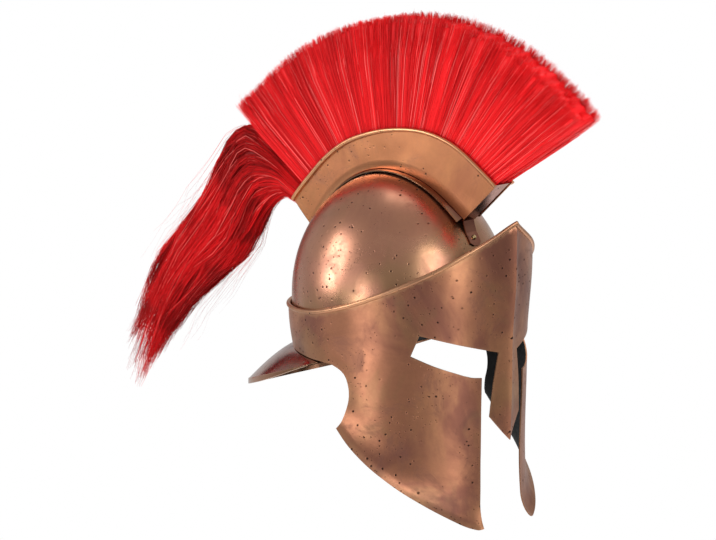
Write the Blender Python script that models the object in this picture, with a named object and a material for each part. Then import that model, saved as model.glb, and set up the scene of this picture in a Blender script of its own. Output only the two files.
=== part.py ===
# Crested sheet-metal helmet of the Corinthian kind, in metres, +Z up.
# It faces -Y, and +X is the wearer's left. The origin is the inner face of the dome's crown,
# where the helmet rests on a head. Run with: blender --background --python part.py

import math

import bpy
import bmesh
import numpy as np
from mathutils import geometry

# Sheet metal
SHEET = 0.0012
CLEARANCE = 0.0003
SEAT_GAP = 0.0007
BEAD_RADIUS = 0.0021
BEAD_INSET = 0.0002
SEAT_EASE = 0.001
SLOPE_STEP = 0.0005

# Skull dome, measured on its outer face
DOME_WIDTH = 0.184
DOME_FRONT = 0.112
DOME_REAR = 0.106
DOME_HEIGHT = 0.118
SKIRT_DEPTH = 0.024
BROW_SKIRT_DEPTH = 0.005

# Face guard: one sheet that holds the brow band, the nasal and both cheeks
GUARD_WIDTH = 0.194
GUARD_FRONT = 0.1245
GUARD_REAR = 0.1252
GUARD_SHIFT = 0.015
GUARD_DEPTH = 0.2833
PEAK_DROP = 0.0283
RIDGE_RISE_TOP = 0.0067
RIDGE_RISE_TIP = 0.0062
RIDGE_SPREAD = 0.010
NAPE_TUCK = 0.0045
FLARE_TIP = 0.0075
FLARE_CORNER = 0.0052
FLARE_REACH = 0.022
FRONT_TUCK = 0.0042
CHEEK_TUCK = 0.0022
CHEEK_TUCK_REACH = 0.140
LIP_WIDTH = 0.005
LIP_RISE = 0.0015

# Nape guard
NAPE_START = 101.5
NAPE_EDGE_WIDTH = 0.195
NAPE_EDGE_REAR = 0.1665
NAPE_EDGE_SHIFT = 0.010
NAPE_SLOPE = 0.32
NAPE_RIM = 0.006
NAPE_RIM_OUT = 0.0006
NAPE_DROP = 0.0002
NAPE_FLANGE = 0.009

# Crest holder: angles are measured at the dome's centre, forwards from straight up
CREST_FRONT_ANGLE = 47.4
CREST_REAR_ANGLE = -59.5
CREST_END_SLANT = 4.0
SADDLE_FRONT_ANGLE = 46.1
MANE_FRONT_ANGLE = 46.2
CREST_WIDTH = 0.022
CREST_HEIGHT = 0.0545
SADDLE_RISE = 0.009
SADDLE_LIP = 0.0008
SADDLE_WIDTH = 0.030
TAB_ANGLE = 58.5
TAB_WIDTH = 0.014
RIVET_ANGLE = 54.6
FRONT_RECESS = 0.002
RIVET_RADIUS = 0.0024
RIVET_HEIGHT = 0.0015

# Horsehair crest
MANE_LENGTH = 0.1223
MANE_TIP_WIDTH = 0.034
MANE_REAR_ANGLE = -50.0
LOCK_COUNT = 30
LOCK_RELIEF = 0.0040
LOCK_STEP = 0.005
TAIL_LENGTH = 0.365
TAIL_THICKNESS = 0.034
TAIL_ROOT_DROP = 0.004
LOCK_TIP_RADIUS = 0.0009

# Height of the rim below its front peak: angle round the guard from its ridge, share of GUARD_DEPTH
RIM = (
    ("angle", "share"),
    (0.0, 0.000), (12.2, 0.042), (28.3, 0.093), (43.2, 0.146), (57.4, 0.194),
    (72.0, 0.241), (88.0, 0.286), (109.5, 0.326), (140.0, 0.341), (180.0, 0.345),
)

# Lower edge of the band behind the neck cut-out
BAND_EDGE = (
    ("angle", "share"),
    (94.0, 0.4870), (101.7, 0.4860), (118.0, 0.4896), (180.0, 0.4930),
)

# Neck cut-out from the band down to the rear corner of the cheek
NECK_CUT = (
    ("angle", "share"),
    (94.0, 0.4870), (89.2, 0.4990), (86.0, 0.5189), (84.2, 0.5560),
    (84.2, 0.5937), (85.6, 0.6308), (87.2, 0.6693), (88.4, 0.6880),
)

# Flared lower edge of the cheek, from its rear corner to its tip
CHEEK_EDGE = (
    ("angle", "share"),
    (88.4, 0.6880), (82.0, 0.7399), (73.5, 0.7935), (65.6, 0.8348), (57.9, 0.8715),
    (50.5, 0.9026), (43.1, 0.9319), (35.6, 0.9594), (28.0, 0.9852), (21.5, 0.9990), (18.6, 0.9960),
)

# Front edge of the cheek, upwards to the eye
FACE_EDGE = (
    ("angle", "share"),
    (18.6, 0.9960), (18.4, 0.9300), (18.0, 0.8600), (17.9, 0.7350), (18.1, 0.6000), (18.0, 0.5058),
)

# Eye opening: under edge outwards, then the upper edge inwards to the nasal
EYE_LOWER = (
    ("angle", "share"),
    (18.0, 0.5058), (24.3, 0.5020), (32.0, 0.4874), (43.0, 0.4640), (54.6, 0.4318),
)
EYE_UPPER = (
    ("angle", "share"),
    (50.4, 0.3635), (30.0, 0.3955), (7.8, 0.4275),
)

# Nasal, from its root down its side to its tip on the ridge
NASAL = (
    ("angle", "share"),
    (7.8, 0.4275), (10.7, 0.5200), (12.3, 0.6000), (12.9, 0.6370), (0.0, 0.7200),
)

# Crest side plates: angle, height over the saddle as a share of CREST_HEIGHT
CREST_PLATE = (
    ("angle", "share"),
    (-59.5, 0.680), (-45.0, 0.588), (-34.0, 0.588), (-22.0, 0.612), (-10.0, 0.640),
    (3.0, 0.730), (16.0, 0.870), (28.0, 0.955), (38.0, 0.975), (47.4, 1.000),
)

# Saddle under the crest: angle, rise over the dome as a share of SADDLE_RISE, width share
SADDLE = (
    ("angle", "rise", "width"),
    (-59.5, 0.22, 0.84), (-20.0, 0.22, 0.92), (3.0, 0.24, 0.98), (17.0, 0.27, 1.00),
    (32.0, 0.45, 0.98), (40.0, 0.64, 0.95), (47.4, 1.00, 0.86),
)

# Mane: share of the way from the rear root to the front root, tip angle, hair length as a share
MANE = (
    ("root", "tip_angle", "length"),
    (0.00, -50.5, 0.860), (0.12, -41.0, 0.818), (0.25, -28.0, 0.805), (0.40, -10.5, 0.825),
    (0.55, 4.5, 0.865), (0.70, 20.5, 0.902), (0.82, 33.0, 0.950), (0.92, 43.5, 0.995), (1.00, 50.6, 1.008),
)

# Tail: stations from root to tip, with the places of its upper and lower edge as shares of
# TAIL_LENGTH behind and below the root, and thickness as a share of TAIL_THICKNESS
TAIL = (
    ("upper_back", "upper_down", "lower_back", "lower_down", "thick"),
    (0.063, -0.075, 0.052, 0.006, 0.62), (0.126, -0.121, 0.095, 0.021, 0.74),
    (0.200, -0.150, 0.135, 0.056, 0.86), (0.258, -0.106, 0.160, 0.090, 0.96),
    (0.300, -0.045, 0.184, 0.133, 1.00), (0.345, 0.028, 0.222, 0.184, 1.00),
    (0.400, 0.096, 0.270, 0.224, 0.98), (0.460, 0.152, 0.335, 0.272, 0.94),
    (0.518, 0.214, 0.395, 0.320, 0.88), (0.556, 0.272, 0.448, 0.364, 0.80),
    (0.586, 0.334, 0.492, 0.402, 0.66), (0.610, 0.405, 0.538, 0.452, 0.50),
)

# Locks that part from the tail: station they leave, place across from the lower edge (-1) to the
# upper edge (1), radius as a share of TAIL_THICKNESS, and the tip's place as shares of TAIL_LENGTH
TAIL_LOCKS = (
    ("station", "place", "radius", "tip_back", "tip_down", "tip_side"),
    (8.6, 0.90, 0.15, 0.659, 0.460, 0.020), (9.6, 0.50, 0.20, 0.660, 0.505, -0.022),
    (10.4, 0.10, 0.34, 0.638, 0.614, 0.004), (9.4, -0.55, 0.27, 0.577, 0.525, 0.026),
    (8.8, -0.75, 0.22, 0.545, 0.485, -0.024), (10.0, -0.20, 0.26, 0.606, 0.560, -0.014),
)

COPPER = (0.33, 0.17, 0.11)
CREST_COPPER = (0.45, 0.25, 0.12)
DARK_COPPER = (0.16, 0.08, 0.06)
BRASS = (0.55, 0.42, 0.20)
PLUME_RED = (0.62, 0.01, 0.015)

DOME_CENTRE = SHEET - DOME_HEIGHT
PLATE_OUTER = CREST_WIDTH / 2
PLATE_INNER = PLATE_OUTER - SHEET
UNROLL = math.radians(1.0) * (GUARD_WIDTH / 2 + GUARD_FRONT + GUARD_REAR) / 3


def smooth(value):
    """Smooth step from 0 to 1."""
    value = min(max(value, 0.0), 1.0)
    return value * value * (3 - 2 * value)


def column(table, name):
    """One named column of a table."""
    index = table[0].index(name)
    return [row[index] for row in table[1:]]


def curve_value(table, name, at, key="angle"):
    """Value of a column at a key, on a smooth curve through the table's rows."""
    keys = column(table, key)
    values = column(table, name)
    if at <= keys[0]:
        return values[0]
    if at >= keys[-1]:
        return values[-1]
    slopes = [0.0] * len(keys)
    for i in range(len(keys)):
        low = max(i - 1, 0)
        high = min(i + 1, len(keys) - 1)
        slopes[i] = (values[high] - values[low]) / (keys[high] - keys[low])
    i = max(k for k in range(len(keys) - 1) if keys[k] <= at)
    span = keys[i + 1] - keys[i]
    s = (at - keys[i]) / span
    return (
        (2 * s**3 - 3 * s**2 + 1) * values[i] + (s**3 - 2 * s**2 + s) * span * slopes[i]
        + (3 * s**2 - 2 * s**3) * values[i + 1] + (s**3 - s**2) * span * slopes[i + 1]
    )


def curve_points(table, step):
    """Points on a smooth curve through a table's two columns, about one step apart."""
    first, second = table[0][0], table[0][1]
    rows = [(a * UNROLL, -s * GUARD_DEPTH) for a, s in zip(column(table, first), column(table, second))]
    points = []
    for i in range(len(rows) - 1):
        before = rows[max(i - 1, 0)]
        start, end = rows[i], rows[i + 1]
        after = rows[min(i + 2, len(rows) - 1)]
        count = max(1, round(math.dist(start, end) / step))
        for k in range(count):
            s = k / count
            point = []
            for axis in range(2):
                m0 = (end[axis] - before[axis]) / 2
                m1 = (after[axis] - start[axis]) / 2
                point.append(
                    (2 * s**3 - 3 * s**2 + 1) * start[axis] + (s**3 - 2 * s**2 + s) * m0
                    + (3 * s**2 - 2 * s**3) * end[axis] + (s**3 - s**2) * m1
                )
            points.append(tuple(point))
    points.append(rows[-1])
    return points


def material(name, colour, roughness, metallic):
    """Principled material of one sub-part."""
    mat = bpy.data.materials.new(name)
    mat.use_nodes = True
    shader = mat.node_tree.nodes["Principled BSDF"]
    shader.inputs["Base Color"].default_value = (*colour, 1.0)
    shader.inputs["Roughness"].default_value = roughness
    shader.inputs["Metallic"].default_value = metallic
    return mat


def solid(name, vertices, faces, colour, roughness=0.3, metallic=1.0, sharp=35.0):
    """Closed solid with outward faces from points in metres."""
    mesh = bpy.data.meshes.new(name)
    mesh.from_pydata([tuple(v) for v in vertices], [], faces)
    bm = bmesh.new()
    bm.from_mesh(mesh)
    bmesh.ops.recalc_face_normals(bm, faces=bm.faces)
    bm.to_mesh(mesh)
    bm.free()
    mesh.shade_smooth()
    mesh.set_sharp_from_angle(angle=math.radians(sharp))
    mesh.materials.append(material(name, colour, roughness, metallic))
    piece = bpy.data.objects.new(name, mesh)
    bpy.context.scene.collection.objects.link(piece)
    return piece


def loops_solid(loops, paired=False):
    """Vertices and faces of a solid through loops of equal length, with both ends closed.

    Paired loops run up one face of a sheet and back down the other, and close from pair to pair.
    """
    size = len(loops[0])
    vertices = [point for loop in loops for point in loop]
    faces = []
    for i in range(len(loops) - 1):
        for k in range(size):
            a = i * size + k
            b = i * size + (k + 1) % size
            faces.append((a, b, b + size, a + size))
    for first in (0, (len(loops) - 1) * size):
        if paired:
            for k in range(size // 2 - 1):
                faces.append(tuple(first + j for j in (k, k + 1, size - 2 - k, size - 1 - k)))
        else:
            faces.append(tuple(range(first, first + size)))
    return vertices, faces


# Guard surface

def fold_angle(angle):
    """Angle from the ridge, without its side."""
    angle = abs(angle) % 360
    return min(angle, 360 - angle)


def rim_height(angle):
    return -PEAK_DROP - GUARD_DEPTH * curve_value(RIM, "share", fold_angle(angle))


def band_edge_height(angle):
    return -PEAK_DROP - GUARD_DEPTH * curve_value(BAND_EDGE, "share", fold_angle(angle))


def guard_plan(angle, height):
    """Point of the guard's plan and its outward direction, before flares and tucks."""
    turn = math.radians(angle)
    reach = GUARD_FRONT if math.cos(turn) > 0 else GUARD_REAR
    x = GUARD_WIDTH / 2 * math.sin(turn)
    y = -GUARD_SHIFT - reach * math.cos(turn)
    outward = np.array([math.sin(turn) / (GUARD_WIDTH / 2), -math.cos(turn) / reach, 0.0])
    outward /= np.linalg.norm(outward)
    if math.cos(turn) > 0:
        share = (-PEAK_DROP - height) / GUARD_DEPTH / column(NASAL, "share")[-1]
        rise = RIDGE_RISE_TOP + (RIDGE_RISE_TIP - RIDGE_RISE_TOP) * min(max(share, 0.0), 1.0)
        y -= rise * math.exp(-abs(x) / RIDGE_SPREAD)
    return np.array([x, y, height]), outward


EDGE_POINTS = np.array(curve_points(CHEEK_EDGE, 0.004))


def edge_distance(angle, height):
    """Distance on the unrolled sheet to the cheek's lower edge, and the edge's angle there."""
    point = np.array([fold_angle(angle) * UNROLL, height + PEAK_DROP])
    start = EDGE_POINTS[:-1]
    run = EDGE_POINTS[1:] - start
    share = np.clip(((point - start) * run).sum(1) / (run * run).sum(1), 0, 1)
    nearest = start + run * share[:, None]
    distance = np.hypot(*(point - nearest).T)
    i = int(distance.argmin())
    return float(distance[i]), float(nearest[i][0]) / UNROLL


def guard_offset(angle, height):
    """How far the sheet stands out of its plan."""
    folded = fold_angle(angle)
    offset = 0.0
    if folded > 95:
        low = band_edge_height(angle)
        high = rim_height(angle)
        share = (high - height) / (high - low)
        offset -= NAPE_TUCK * smooth((folded - 95) / 30) * max(share, 0.0) ** 2
    level = (-PEAK_DROP - height) / GUARD_DEPTH
    offset -= FRONT_TUCK * smooth((level - 0.16) / 0.26) * smooth((85 - folded) / 50)
    if folded < 97 and level > 0.5:
        distance, edge_angle = edge_distance(angle, height)
        tip = smooth((95 - edge_angle) / 76)
        rise = FLARE_CORNER + (FLARE_TIP - FLARE_CORNER) * tip
        near = max(1 - distance / FLARE_REACH, 0.0)
        offset += rise * near**2 + LIP_RISE * max(1 - distance / LIP_WIDTH, 0.0)
        away = min(max((distance - LIP_WIDTH) / CHEEK_TUCK_REACH, 0.0), 1.0)
        offset -= CHEEK_TUCK * tip * math.sin(math.pi * away**0.75) ** 2
    return offset


def guard_point(angle, height, depth=0.0):
    """Point of the guard's sheet, a depth under its outer face."""
    point, outward = guard_plan(angle, height)
    step = SLOPE_STEP
    slope = (guard_offset(angle, height + step) - guard_offset(angle, height - step)) / (2 * step)
    normal = outward - np.array([0.0, 0.0, slope])
    normal /= np.linalg.norm(normal)
    return point + outward * guard_offset(angle, height) - normal * depth


def inside(point, outline):
    """Whether a flat point lies inside a flat outline."""
    x, y = point
    result = False
    for (x0, y0), (x1, y1) in zip(outline, outline[1:] + outline[:1]):
        if (y0 > y) != (y1 > y) and x < (x1 - x0) * (y - y0) / (y1 - y0) + x0:
            result = not result
    return result


def outline_distance(point, outline):
    start = np.array(outline)
    run = np.roll(start, -1, axis=0) - start
    point = np.array(point)
    share = np.clip(((point - start) * run).sum(1) / (run * run).sum(1), 0, 1)
    return float(np.hypot(*(point - start - run * share[:, None]).T).min())


GUARD_STEP = 0.0125
RIDGE_ANGLES = (0.0, 2.2, 4.8, 7.6, 10.4, 14.5, 18.5)


def guard_angles():
    """Columns of points: close at the ridge, even round the rest."""
    angles = list(RIDGE_ANGLES)
    rest = 180 - angles[-1]
    count = math.ceil(rest * UNROLL / GUARD_STEP)
    return angles + [angles[-1] + rest * (i + 1) / count for i in range(count)]


def guard_outline():
    """Flat outline of the left half of the sheet, with the number of points on its rim."""
    rim = [(a * UNROLL, rim_height(a) + PEAK_DROP - 2 * BEAD_RADIUS) for a in guard_angles()]
    points = list(rim)
    rear_low = (180 * UNROLL, band_edge_height(180) + PEAK_DROP)
    rear_gap = rim[-1][1] - rear_low[1]
    rear_count = round(rear_gap / GUARD_STEP)
    points += [(rear_low[0], rim[-1][1] - rear_gap * i / rear_count) for i in range(1, rear_count)]
    points += curve_points(BAND_EDGE, GUARD_STEP)[::-1][:-1]
    points += curve_points(NECK_CUT, GUARD_STEP * 0.6)[:-1]
    points += curve_points(CHEEK_EDGE, GUARD_STEP)[:-1]
    points += curve_points(FACE_EDGE, GUARD_STEP)[:-1]
    points += curve_points(EYE_LOWER, GUARD_STEP)
    points += curve_points(EYE_UPPER, GUARD_STEP)[:-1]
    nasal = [(a * UNROLL, -s * GUARD_DEPTH) for a, s in NASAL[1:]]
    points += nasal
    ridge_gap = rim[0][1] - nasal[-1][1]
    ridge_count = round(ridge_gap / GUARD_STEP)
    points += [(0.0, nasal[-1][1] + ridge_gap * i / ridge_count) for i in range(1, ridge_count)]
    return points, len(rim)


def guard_inner_points(outline):
    """Points inside the outline: rows along the flared edge, then an even grid."""
    found = []
    rows = (LIP_WIDTH, LIP_WIDTH + FLARE_REACH * 0.3, FLARE_REACH)
    edge = curve_points(CHEEK_EDGE, GUARD_STEP)
    for row in rows:
        for before, at, after in zip(edge, edge[1:], edge[2:]):
            run = np.array(after) - np.array(before)
            run /= np.linalg.norm(run)
            point = (at[0] - run[1] * -row, at[1] + run[0] * -row)
            if inside(point, outline) and outline_distance(point, outline) > row * 0.8:
                found.append(point)
    lowest = min(y for x, y in outline)
    levels = math.ceil(-lowest / GUARD_STEP)
    for angle in guard_angles()[1:-1]:
        for level in range(levels):
            point = (angle * UNROLL, -(level + 0.5) * GUARD_STEP)
            if not inside(point, outline) or outline_distance(point, outline) < GUARD_STEP * 0.42:
                continue
            if found and min(math.dist(point, other) for other in found) < GUARD_STEP * 0.5:
                continue
            found.append(point)
    return found


def bead_profile(angle):
    """Points round the rolled rim at an angle, from the sheet's outer face to its inner face."""
    step = 0.4
    here = guard_point(angle, rim_height(angle))
    ahead = guard_point(angle + step, rim_height(angle + step))
    behind = guard_point(angle - step, rim_height(angle - step))
    along = (ahead - behind) / np.linalg.norm(ahead - behind)
    outward = guard_plan(angle, rim_height(angle))[1]
    up = np.cross(along, outward)
    up /= np.linalg.norm(up)
    if up[2] < 0:
        up = -up
    centre = here - up * BEAD_RADIUS - outward * BEAD_INSET
    first = math.asin(BEAD_INSET / BEAD_RADIUS)
    last = 2 * math.pi - math.asin((SHEET - BEAD_INSET) / BEAD_RADIUS)
    turns = [first + (last - first) * i / 7 for i in range(8)]
    return [centre + BEAD_RADIUS * (math.sin(t) * outward - math.cos(t) * up) for t in turns]


def make_face_guard():
    outline, rim_count = guard_outline()
    inner = guard_inner_points(outline)
    flat = outline + inner
    count = len(outline)
    edges = [(i, (i + 1) % count) for i in range(count)]
    result = geometry.delaunay_2d_cdt(flat, edges, [tuple(range(count))], 1, 1e-7)
    points = [tuple(p) for p in result[0]]
    triangles = [tuple(t) for t in result[2]]
    source = [origin[0] for origin in result[3]]
    vertices = []
    index = {}
    for side in (1, -1):
        for i, (u, v) in enumerate(points):
            angle = u / UNROLL
            on_seam = u < 1e-6 or u > 180 * UNROLL - 1e-6
            if side < 0 and on_seam:
                index[(side, i)] = index[(1, i)]
                continue
            if source[i] < rim_count:
                profile = bead_profile(side * angle)
            else:
                height = v - PEAK_DROP
                profile = [guard_point(side * angle, height, d) for d in (0.0, SHEET)]
            index[(side, i)] = range(len(vertices), len(vertices) + len(profile))
            vertices += profile
    faces = []
    border = {}
    for side in (1, -1):
        for triangle in triangles:
            corners = [index[(side, i)] for i in triangle]
            if side < 0:
                corners = corners[::-1]
            faces.append(tuple(c[0] for c in corners))
            faces.append(tuple(c[-1] for c in reversed(corners)))
            for a, b in zip(corners, corners[1:] + corners[:1]):
                key = (min(a[0], b[0]), max(a[0], b[0]))
                if key in border:
                    border[key] = None
                else:
                    border[key] = (a, b)
    for pair in border.values():
        if pair is None:
            continue
        a, b = pair
        if len(a) == len(b):
            for k in range(len(a) - 1):
                faces.append((b[k], a[k], a[k + 1], b[k + 1]))
        else:
            faces.append((b[0], a[0], *a[1:], *reversed(b[1:])))
    return solid("face_guard", vertices, faces, COPPER)


# Skull dome

def band_reach(direction, inset):
    """Radius of the guard's band from the dome's axis, an inset under its outer face."""
    sx, cy = math.sin(direction), -math.cos(direction)
    best = 0.0
    for length in (GUARD_FRONT, GUARD_REAR):
        a = (sx / (GUARD_WIDTH / 2 - inset)) ** 2 + (cy / (length - inset)) ** 2
        b = 2 * cy * GUARD_SHIFT / (length - inset) ** 2
        c = (GUARD_SHIFT / (length - inset)) ** 2 - 1
        reach = (-b + math.sqrt(b * b - 4 * a * c)) / (2 * a)
        is_front = cy * reach + GUARD_SHIFT < 0
        if is_front == (length == GUARD_FRONT):
            best = reach
    return best


def dome_reach(direction, depth):
    """Radius of the dome's widest line in a direction, held clear of the guard's rolled rim."""
    length = (DOME_FRONT if math.cos(direction) > 0 else DOME_REAR) - depth
    free = 1 / math.hypot(math.sin(direction) / (DOME_WIDTH / 2 - depth), math.cos(direction) / length)
    limit = band_reach(direction, BEAD_RADIUS + BEAD_INSET + SEAT_GAP) - depth
    return free - (free - limit + math.hypot(free - limit, SEAT_EASE)) / 2


def dome_loop(rise, depth):
    """Loop of points at a rise angle over the dome's widest line, a depth under its face."""
    loop = []
    for i in range(DOME_COLUMNS):
        direction = 2 * math.pi * i / DOME_COLUMNS
        reach = dome_reach(direction, depth) * math.cos(rise)
        height = DOME_CENTRE + (DOME_HEIGHT - depth) * math.sin(rise)
        loop.append((reach * math.sin(direction), -reach * math.cos(direction), height))
    return loop


def skirt_loop(share, depth):
    """Loop of the skirt below the dome, which widens to the band beside and behind the head."""
    loop = []
    for i in range(DOME_COLUMNS):
        direction = 2 * math.pi * i / DOME_COLUMNS
        turned = fold_angle(math.degrees(direction))
        hold = smooth((turned - 48) / 30)
        free = dome_reach(direction, depth)
        held = band_reach(direction, SHEET + SEAT_GAP + depth)
        held -= NAPE_TUCK * smooth((turned - 95) / 30) * SKIRT_TUCK_SHARE * share
        widen = hold * smooth((share - 0.6) / 0.4)
        reach = free + (held - free) * widen
        drop = BROW_SKIRT_DEPTH + (SKIRT_DEPTH - BROW_SKIRT_DEPTH) * hold
        height = DOME_CENTRE - drop * share
        loop.append((reach * math.sin(direction), -reach * math.cos(direction), height))
    return loop


DOME_COLUMNS = 40
DOME_ROWS = 9
SKIRT_SHARES = (0.3, 0.6, 0.8, 1.0)
SKIRT_TUCK_SHARE = 0.25


def make_skull_dome():
    rows = [math.radians(84) * (1 - i / (DOME_ROWS - 1)) for i in range(DOME_ROWS)]
    outer = [dome_loop(r, 0.0) for r in rows] + [skirt_loop(s, 0.0) for s in SKIRT_SHARES]
    inner = [dome_loop(r, SHEET) for r in rows] + [skirt_loop(s, SHEET) for s in SKIRT_SHARES]
    loops = outer + inner[::-1]
    vertices, faces = loops_solid(loops)
    faces = [face for face in faces if len(face) == 4]
    outer_pole = len(vertices)
    vertices.append((0.0, 0.0, DOME_CENTRE + DOME_HEIGHT))
    vertices.append((0.0, 0.0, DOME_CENTRE + DOME_HEIGHT - SHEET))
    last = (len(loops) - 1) * DOME_COLUMNS
    for k in range(DOME_COLUMNS):
        after = (k + 1) % DOME_COLUMNS
        faces.append((outer_pole, after, k))
        faces.append((outer_pole + 1, last + k, last + after))
    return solid("skull_dome", vertices, faces, COPPER, 0.25)


# Nape guard

def make_nape_guard():
    columns = 23
    turn = 360 - 2 * NAPE_START
    flare = (0.0, 0.06, 0.25, 0.5, 0.75, 1.0)
    inset = SHEET + SEAT_GAP
    upper, lower = [], []
    for i in range(columns):
        angle = NAPE_START + turn * i / (columns - 1)
        side = math.radians(90 + 180 * i / (columns - 1))
        low = band_edge_height(angle)
        edge = np.array([
            NAPE_EDGE_WIDTH / 2 * math.sin(side),
            NAPE_EDGE_SHIFT - (NAPE_EDGE_REAR - NAPE_EDGE_SHIFT) * math.cos(side),
            0.0,
        ])
        inner = guard_point(angle, low, inset)
        start = low - CLEARANCE - NAPE_DROP
        span = edge - np.array([inner[0], inner[1], 0.0])
        reach = np.linalg.norm(span)
        outward = span / reach
        edge_height = start - NAPE_SLOPE * max(edge[1] - NAPE_EDGE_SHIFT, 0.0) * 0.94
        line = [guard_point(angle, low + NAPE_FLANGE * (1 - k / 2), inset) for k in range(2)]
        for share in flare:
            height = start + (edge_height - start) * share**1.35
            line.append(np.array([inner[0], inner[1], 0.0]) + span * share + np.array([0, 0, height]))
        rim = NAPE_RIM * (0.12 + 0.88 * smooth(min(i, columns - 1 - i) / 5))
        line.append(line[-1] + outward * NAPE_RIM_OUT - np.array([0.0, 0.0, rim]))
        under = []
        for k, point in enumerate(line):
            along = line[min(k + 1, len(line) - 1)] - line[max(k - 1, 0)]
            along_out, along_up = along @ outward, along[2]
            normal = along_up * outward - np.array([0.0, 0.0, along_out])
            under.append(point + normal / np.linalg.norm(normal) * SHEET)
        upper.append(line)
        lower.append(under)
    loops = [u + l[::-1] for u, l in zip(upper, lower)]
    vertices, faces = loops_solid(loops, True)
    return solid("nape_guard", vertices, faces, DARK_COPPER, 0.2)


# Crest holder

def dome_profile(angle, x=0.0):
    """Distance from the dome's centre to its outer face, in the upright plane at x."""
    turn = math.radians(angle)
    length = DOME_FRONT if angle > 0 else DOME_REAR
    shrink = math.sqrt(1 - (x / (DOME_WIDTH / 2)) ** 2)
    return shrink / math.hypot(math.sin(turn) / length, math.cos(turn) / DOME_HEIGHT)


def crest_point(angle, radius, x):
    turn = math.radians(angle)
    return (x, -radius * math.sin(turn), DOME_CENTRE + radius * math.cos(turn))


def saddle_top(angle):
    """Radius of the saddle's upper face, on which the plates and the plume stand."""
    return dome_profile(angle) + CLEARANCE + SADDLE_RISE * curve_value(SADDLE, "rise", angle)


def plate_top(angle):
    return saddle_top(angle) + CLEARANCE + CREST_HEIGHT * curve_value(CREST_PLATE, "share", angle)


def crest_angles(count, front=CREST_FRONT_ANGLE, rear=CREST_REAR_ANGLE):
    return [rear + (front - rear) * i / (count - 1) for i in range(count)]


def make_crest_saddle():
    loops = []
    for angle in crest_angles(21, SADDLE_FRONT_ANGLE, CREST_REAR_ANGLE - CREST_END_SLANT / 2):
        half = SADDLE_WIDTH / 2 * curve_value(SADDLE, "width", angle)
        top = saddle_top(angle)
        foot = dome_profile(angle, half) + CLEARANCE
        outline = [(top, -PLATE_OUTER), (top, PLATE_OUTER), (foot + SADDLE_LIP, half), (foot, half)]
        outline += [(dome_profile(angle, x) + CLEARANCE, x) for x in (half / 2, 0.0, -half / 2)]
        outline += [(foot, -half), (foot + SADDLE_LIP, -half)]
        loops.append([crest_point(angle, radius, x) for radius, x in outline])
    vertices, faces = loops_solid(loops)
    return solid("crest_saddle", vertices, faces, DARK_COPPER, 0.3)


def slanted(angle, radius, x):
    """Point of a side plate: its rear end isn't square to the dome but leans back at the foot."""
    low, high = saddle_top(angle) + CLEARANCE, plate_top(angle)
    share = (radius - low) / (high - low)
    lean = CREST_END_SLANT * smooth(1 - (angle - CREST_REAR_ANGLE) / 25)
    turned = angle + (share - 0.5) * lean
    low, high = saddle_top(turned) + CLEARANCE, plate_top(turned)
    return crest_point(turned, low + (high - low) * share, x)


def make_crest_plate(side):
    """Side plate with a bead rolled outwards along its upper edge."""
    centre = PLATE_INNER + BEAD_RADIUS
    first = -math.acos((PLATE_OUTER - centre) / BEAD_RADIUS)
    turns = [first + (math.pi - first) * i / 7 for i in range(8)]
    loops = []
    for angle in crest_angles(27):
        low = saddle_top(angle) + CLEARANCE
        bead = plate_top(angle) - BEAD_RADIUS
        outline = [(PLATE_INNER, low), (PLATE_OUTER, low), (PLATE_OUTER, (low + bead) / 2)]
        outline += [(centre + BEAD_RADIUS * math.cos(t), bead + BEAD_RADIUS * math.sin(t)) for t in turns]
        outline.append((PLATE_INNER, (low + bead) / 2))
        loops.append([slanted(angle, radius, side * x) for x, radius in outline])
    vertices, faces = loops_solid(loops)
    name = "crest_plate_left" if side > 0 else "crest_plate_right"
    return solid(name, vertices, faces, CREST_COPPER)


def make_crest_front():
    """End plate of the crest, bent at its foot into the tab that runs down the dome."""
    half = PLATE_INNER - CLEARANCE
    tab = TAB_WIDTH / 2
    turn = math.radians(CREST_FRONT_ANGLE)
    forward = np.array([0.0, -math.cos(turn), -math.sin(turn)])
    top = plate_top(CREST_FRONT_ANGLE) - BEAD_RADIUS
    shelf = saddle_top(CREST_FRONT_ANGLE) + CLEARANCE
    foot = dome_profile(CREST_FRONT_ANGLE) + CLEARANCE + SADDLE_RISE * 0.5
    line = []
    for radius in (top, (top + shelf) / 2, shelf, foot):
        line.append(np.array(crest_point(CREST_FRONT_ANGLE, radius, 0.0)) - forward * FRONT_RECESS)
    widths = [half, half, half, tab]
    bend = CREST_FRONT_ANGLE + 1.4
    for share, width in ((0.0, tab), (0.3, tab), (0.6, tab), (0.85, tab), (1.0, tab * 0.45)):
        angle = bend + (TAB_ANGLE - bend) * share
        settle = SADDLE_RISE * 0.22 * (1 - smooth(share / 0.3))
        line.append(np.array(crest_point(angle, dome_profile(angle) + CLEARANCE + settle, 0.0)))
        widths.append(width)
    loops = []
    for k, point in enumerate(line):
        along = line[min(k + 1, len(line) - 1)] - line[max(k - 1, 0)]
        if k < 3:
            along = line[1] - line[0]
        normal = np.array([0.0, along[2], -along[1]])
        normal *= SHEET / np.linalg.norm(normal)
        side = np.array([widths[k], 0.0, 0.0])
        loops.append([point - side, point + side, point + side + normal, point - side + normal])
    vertices, faces = loops_solid(loops)
    return solid("crest_front", vertices, faces, DARK_COPPER, 0.35)


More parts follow.
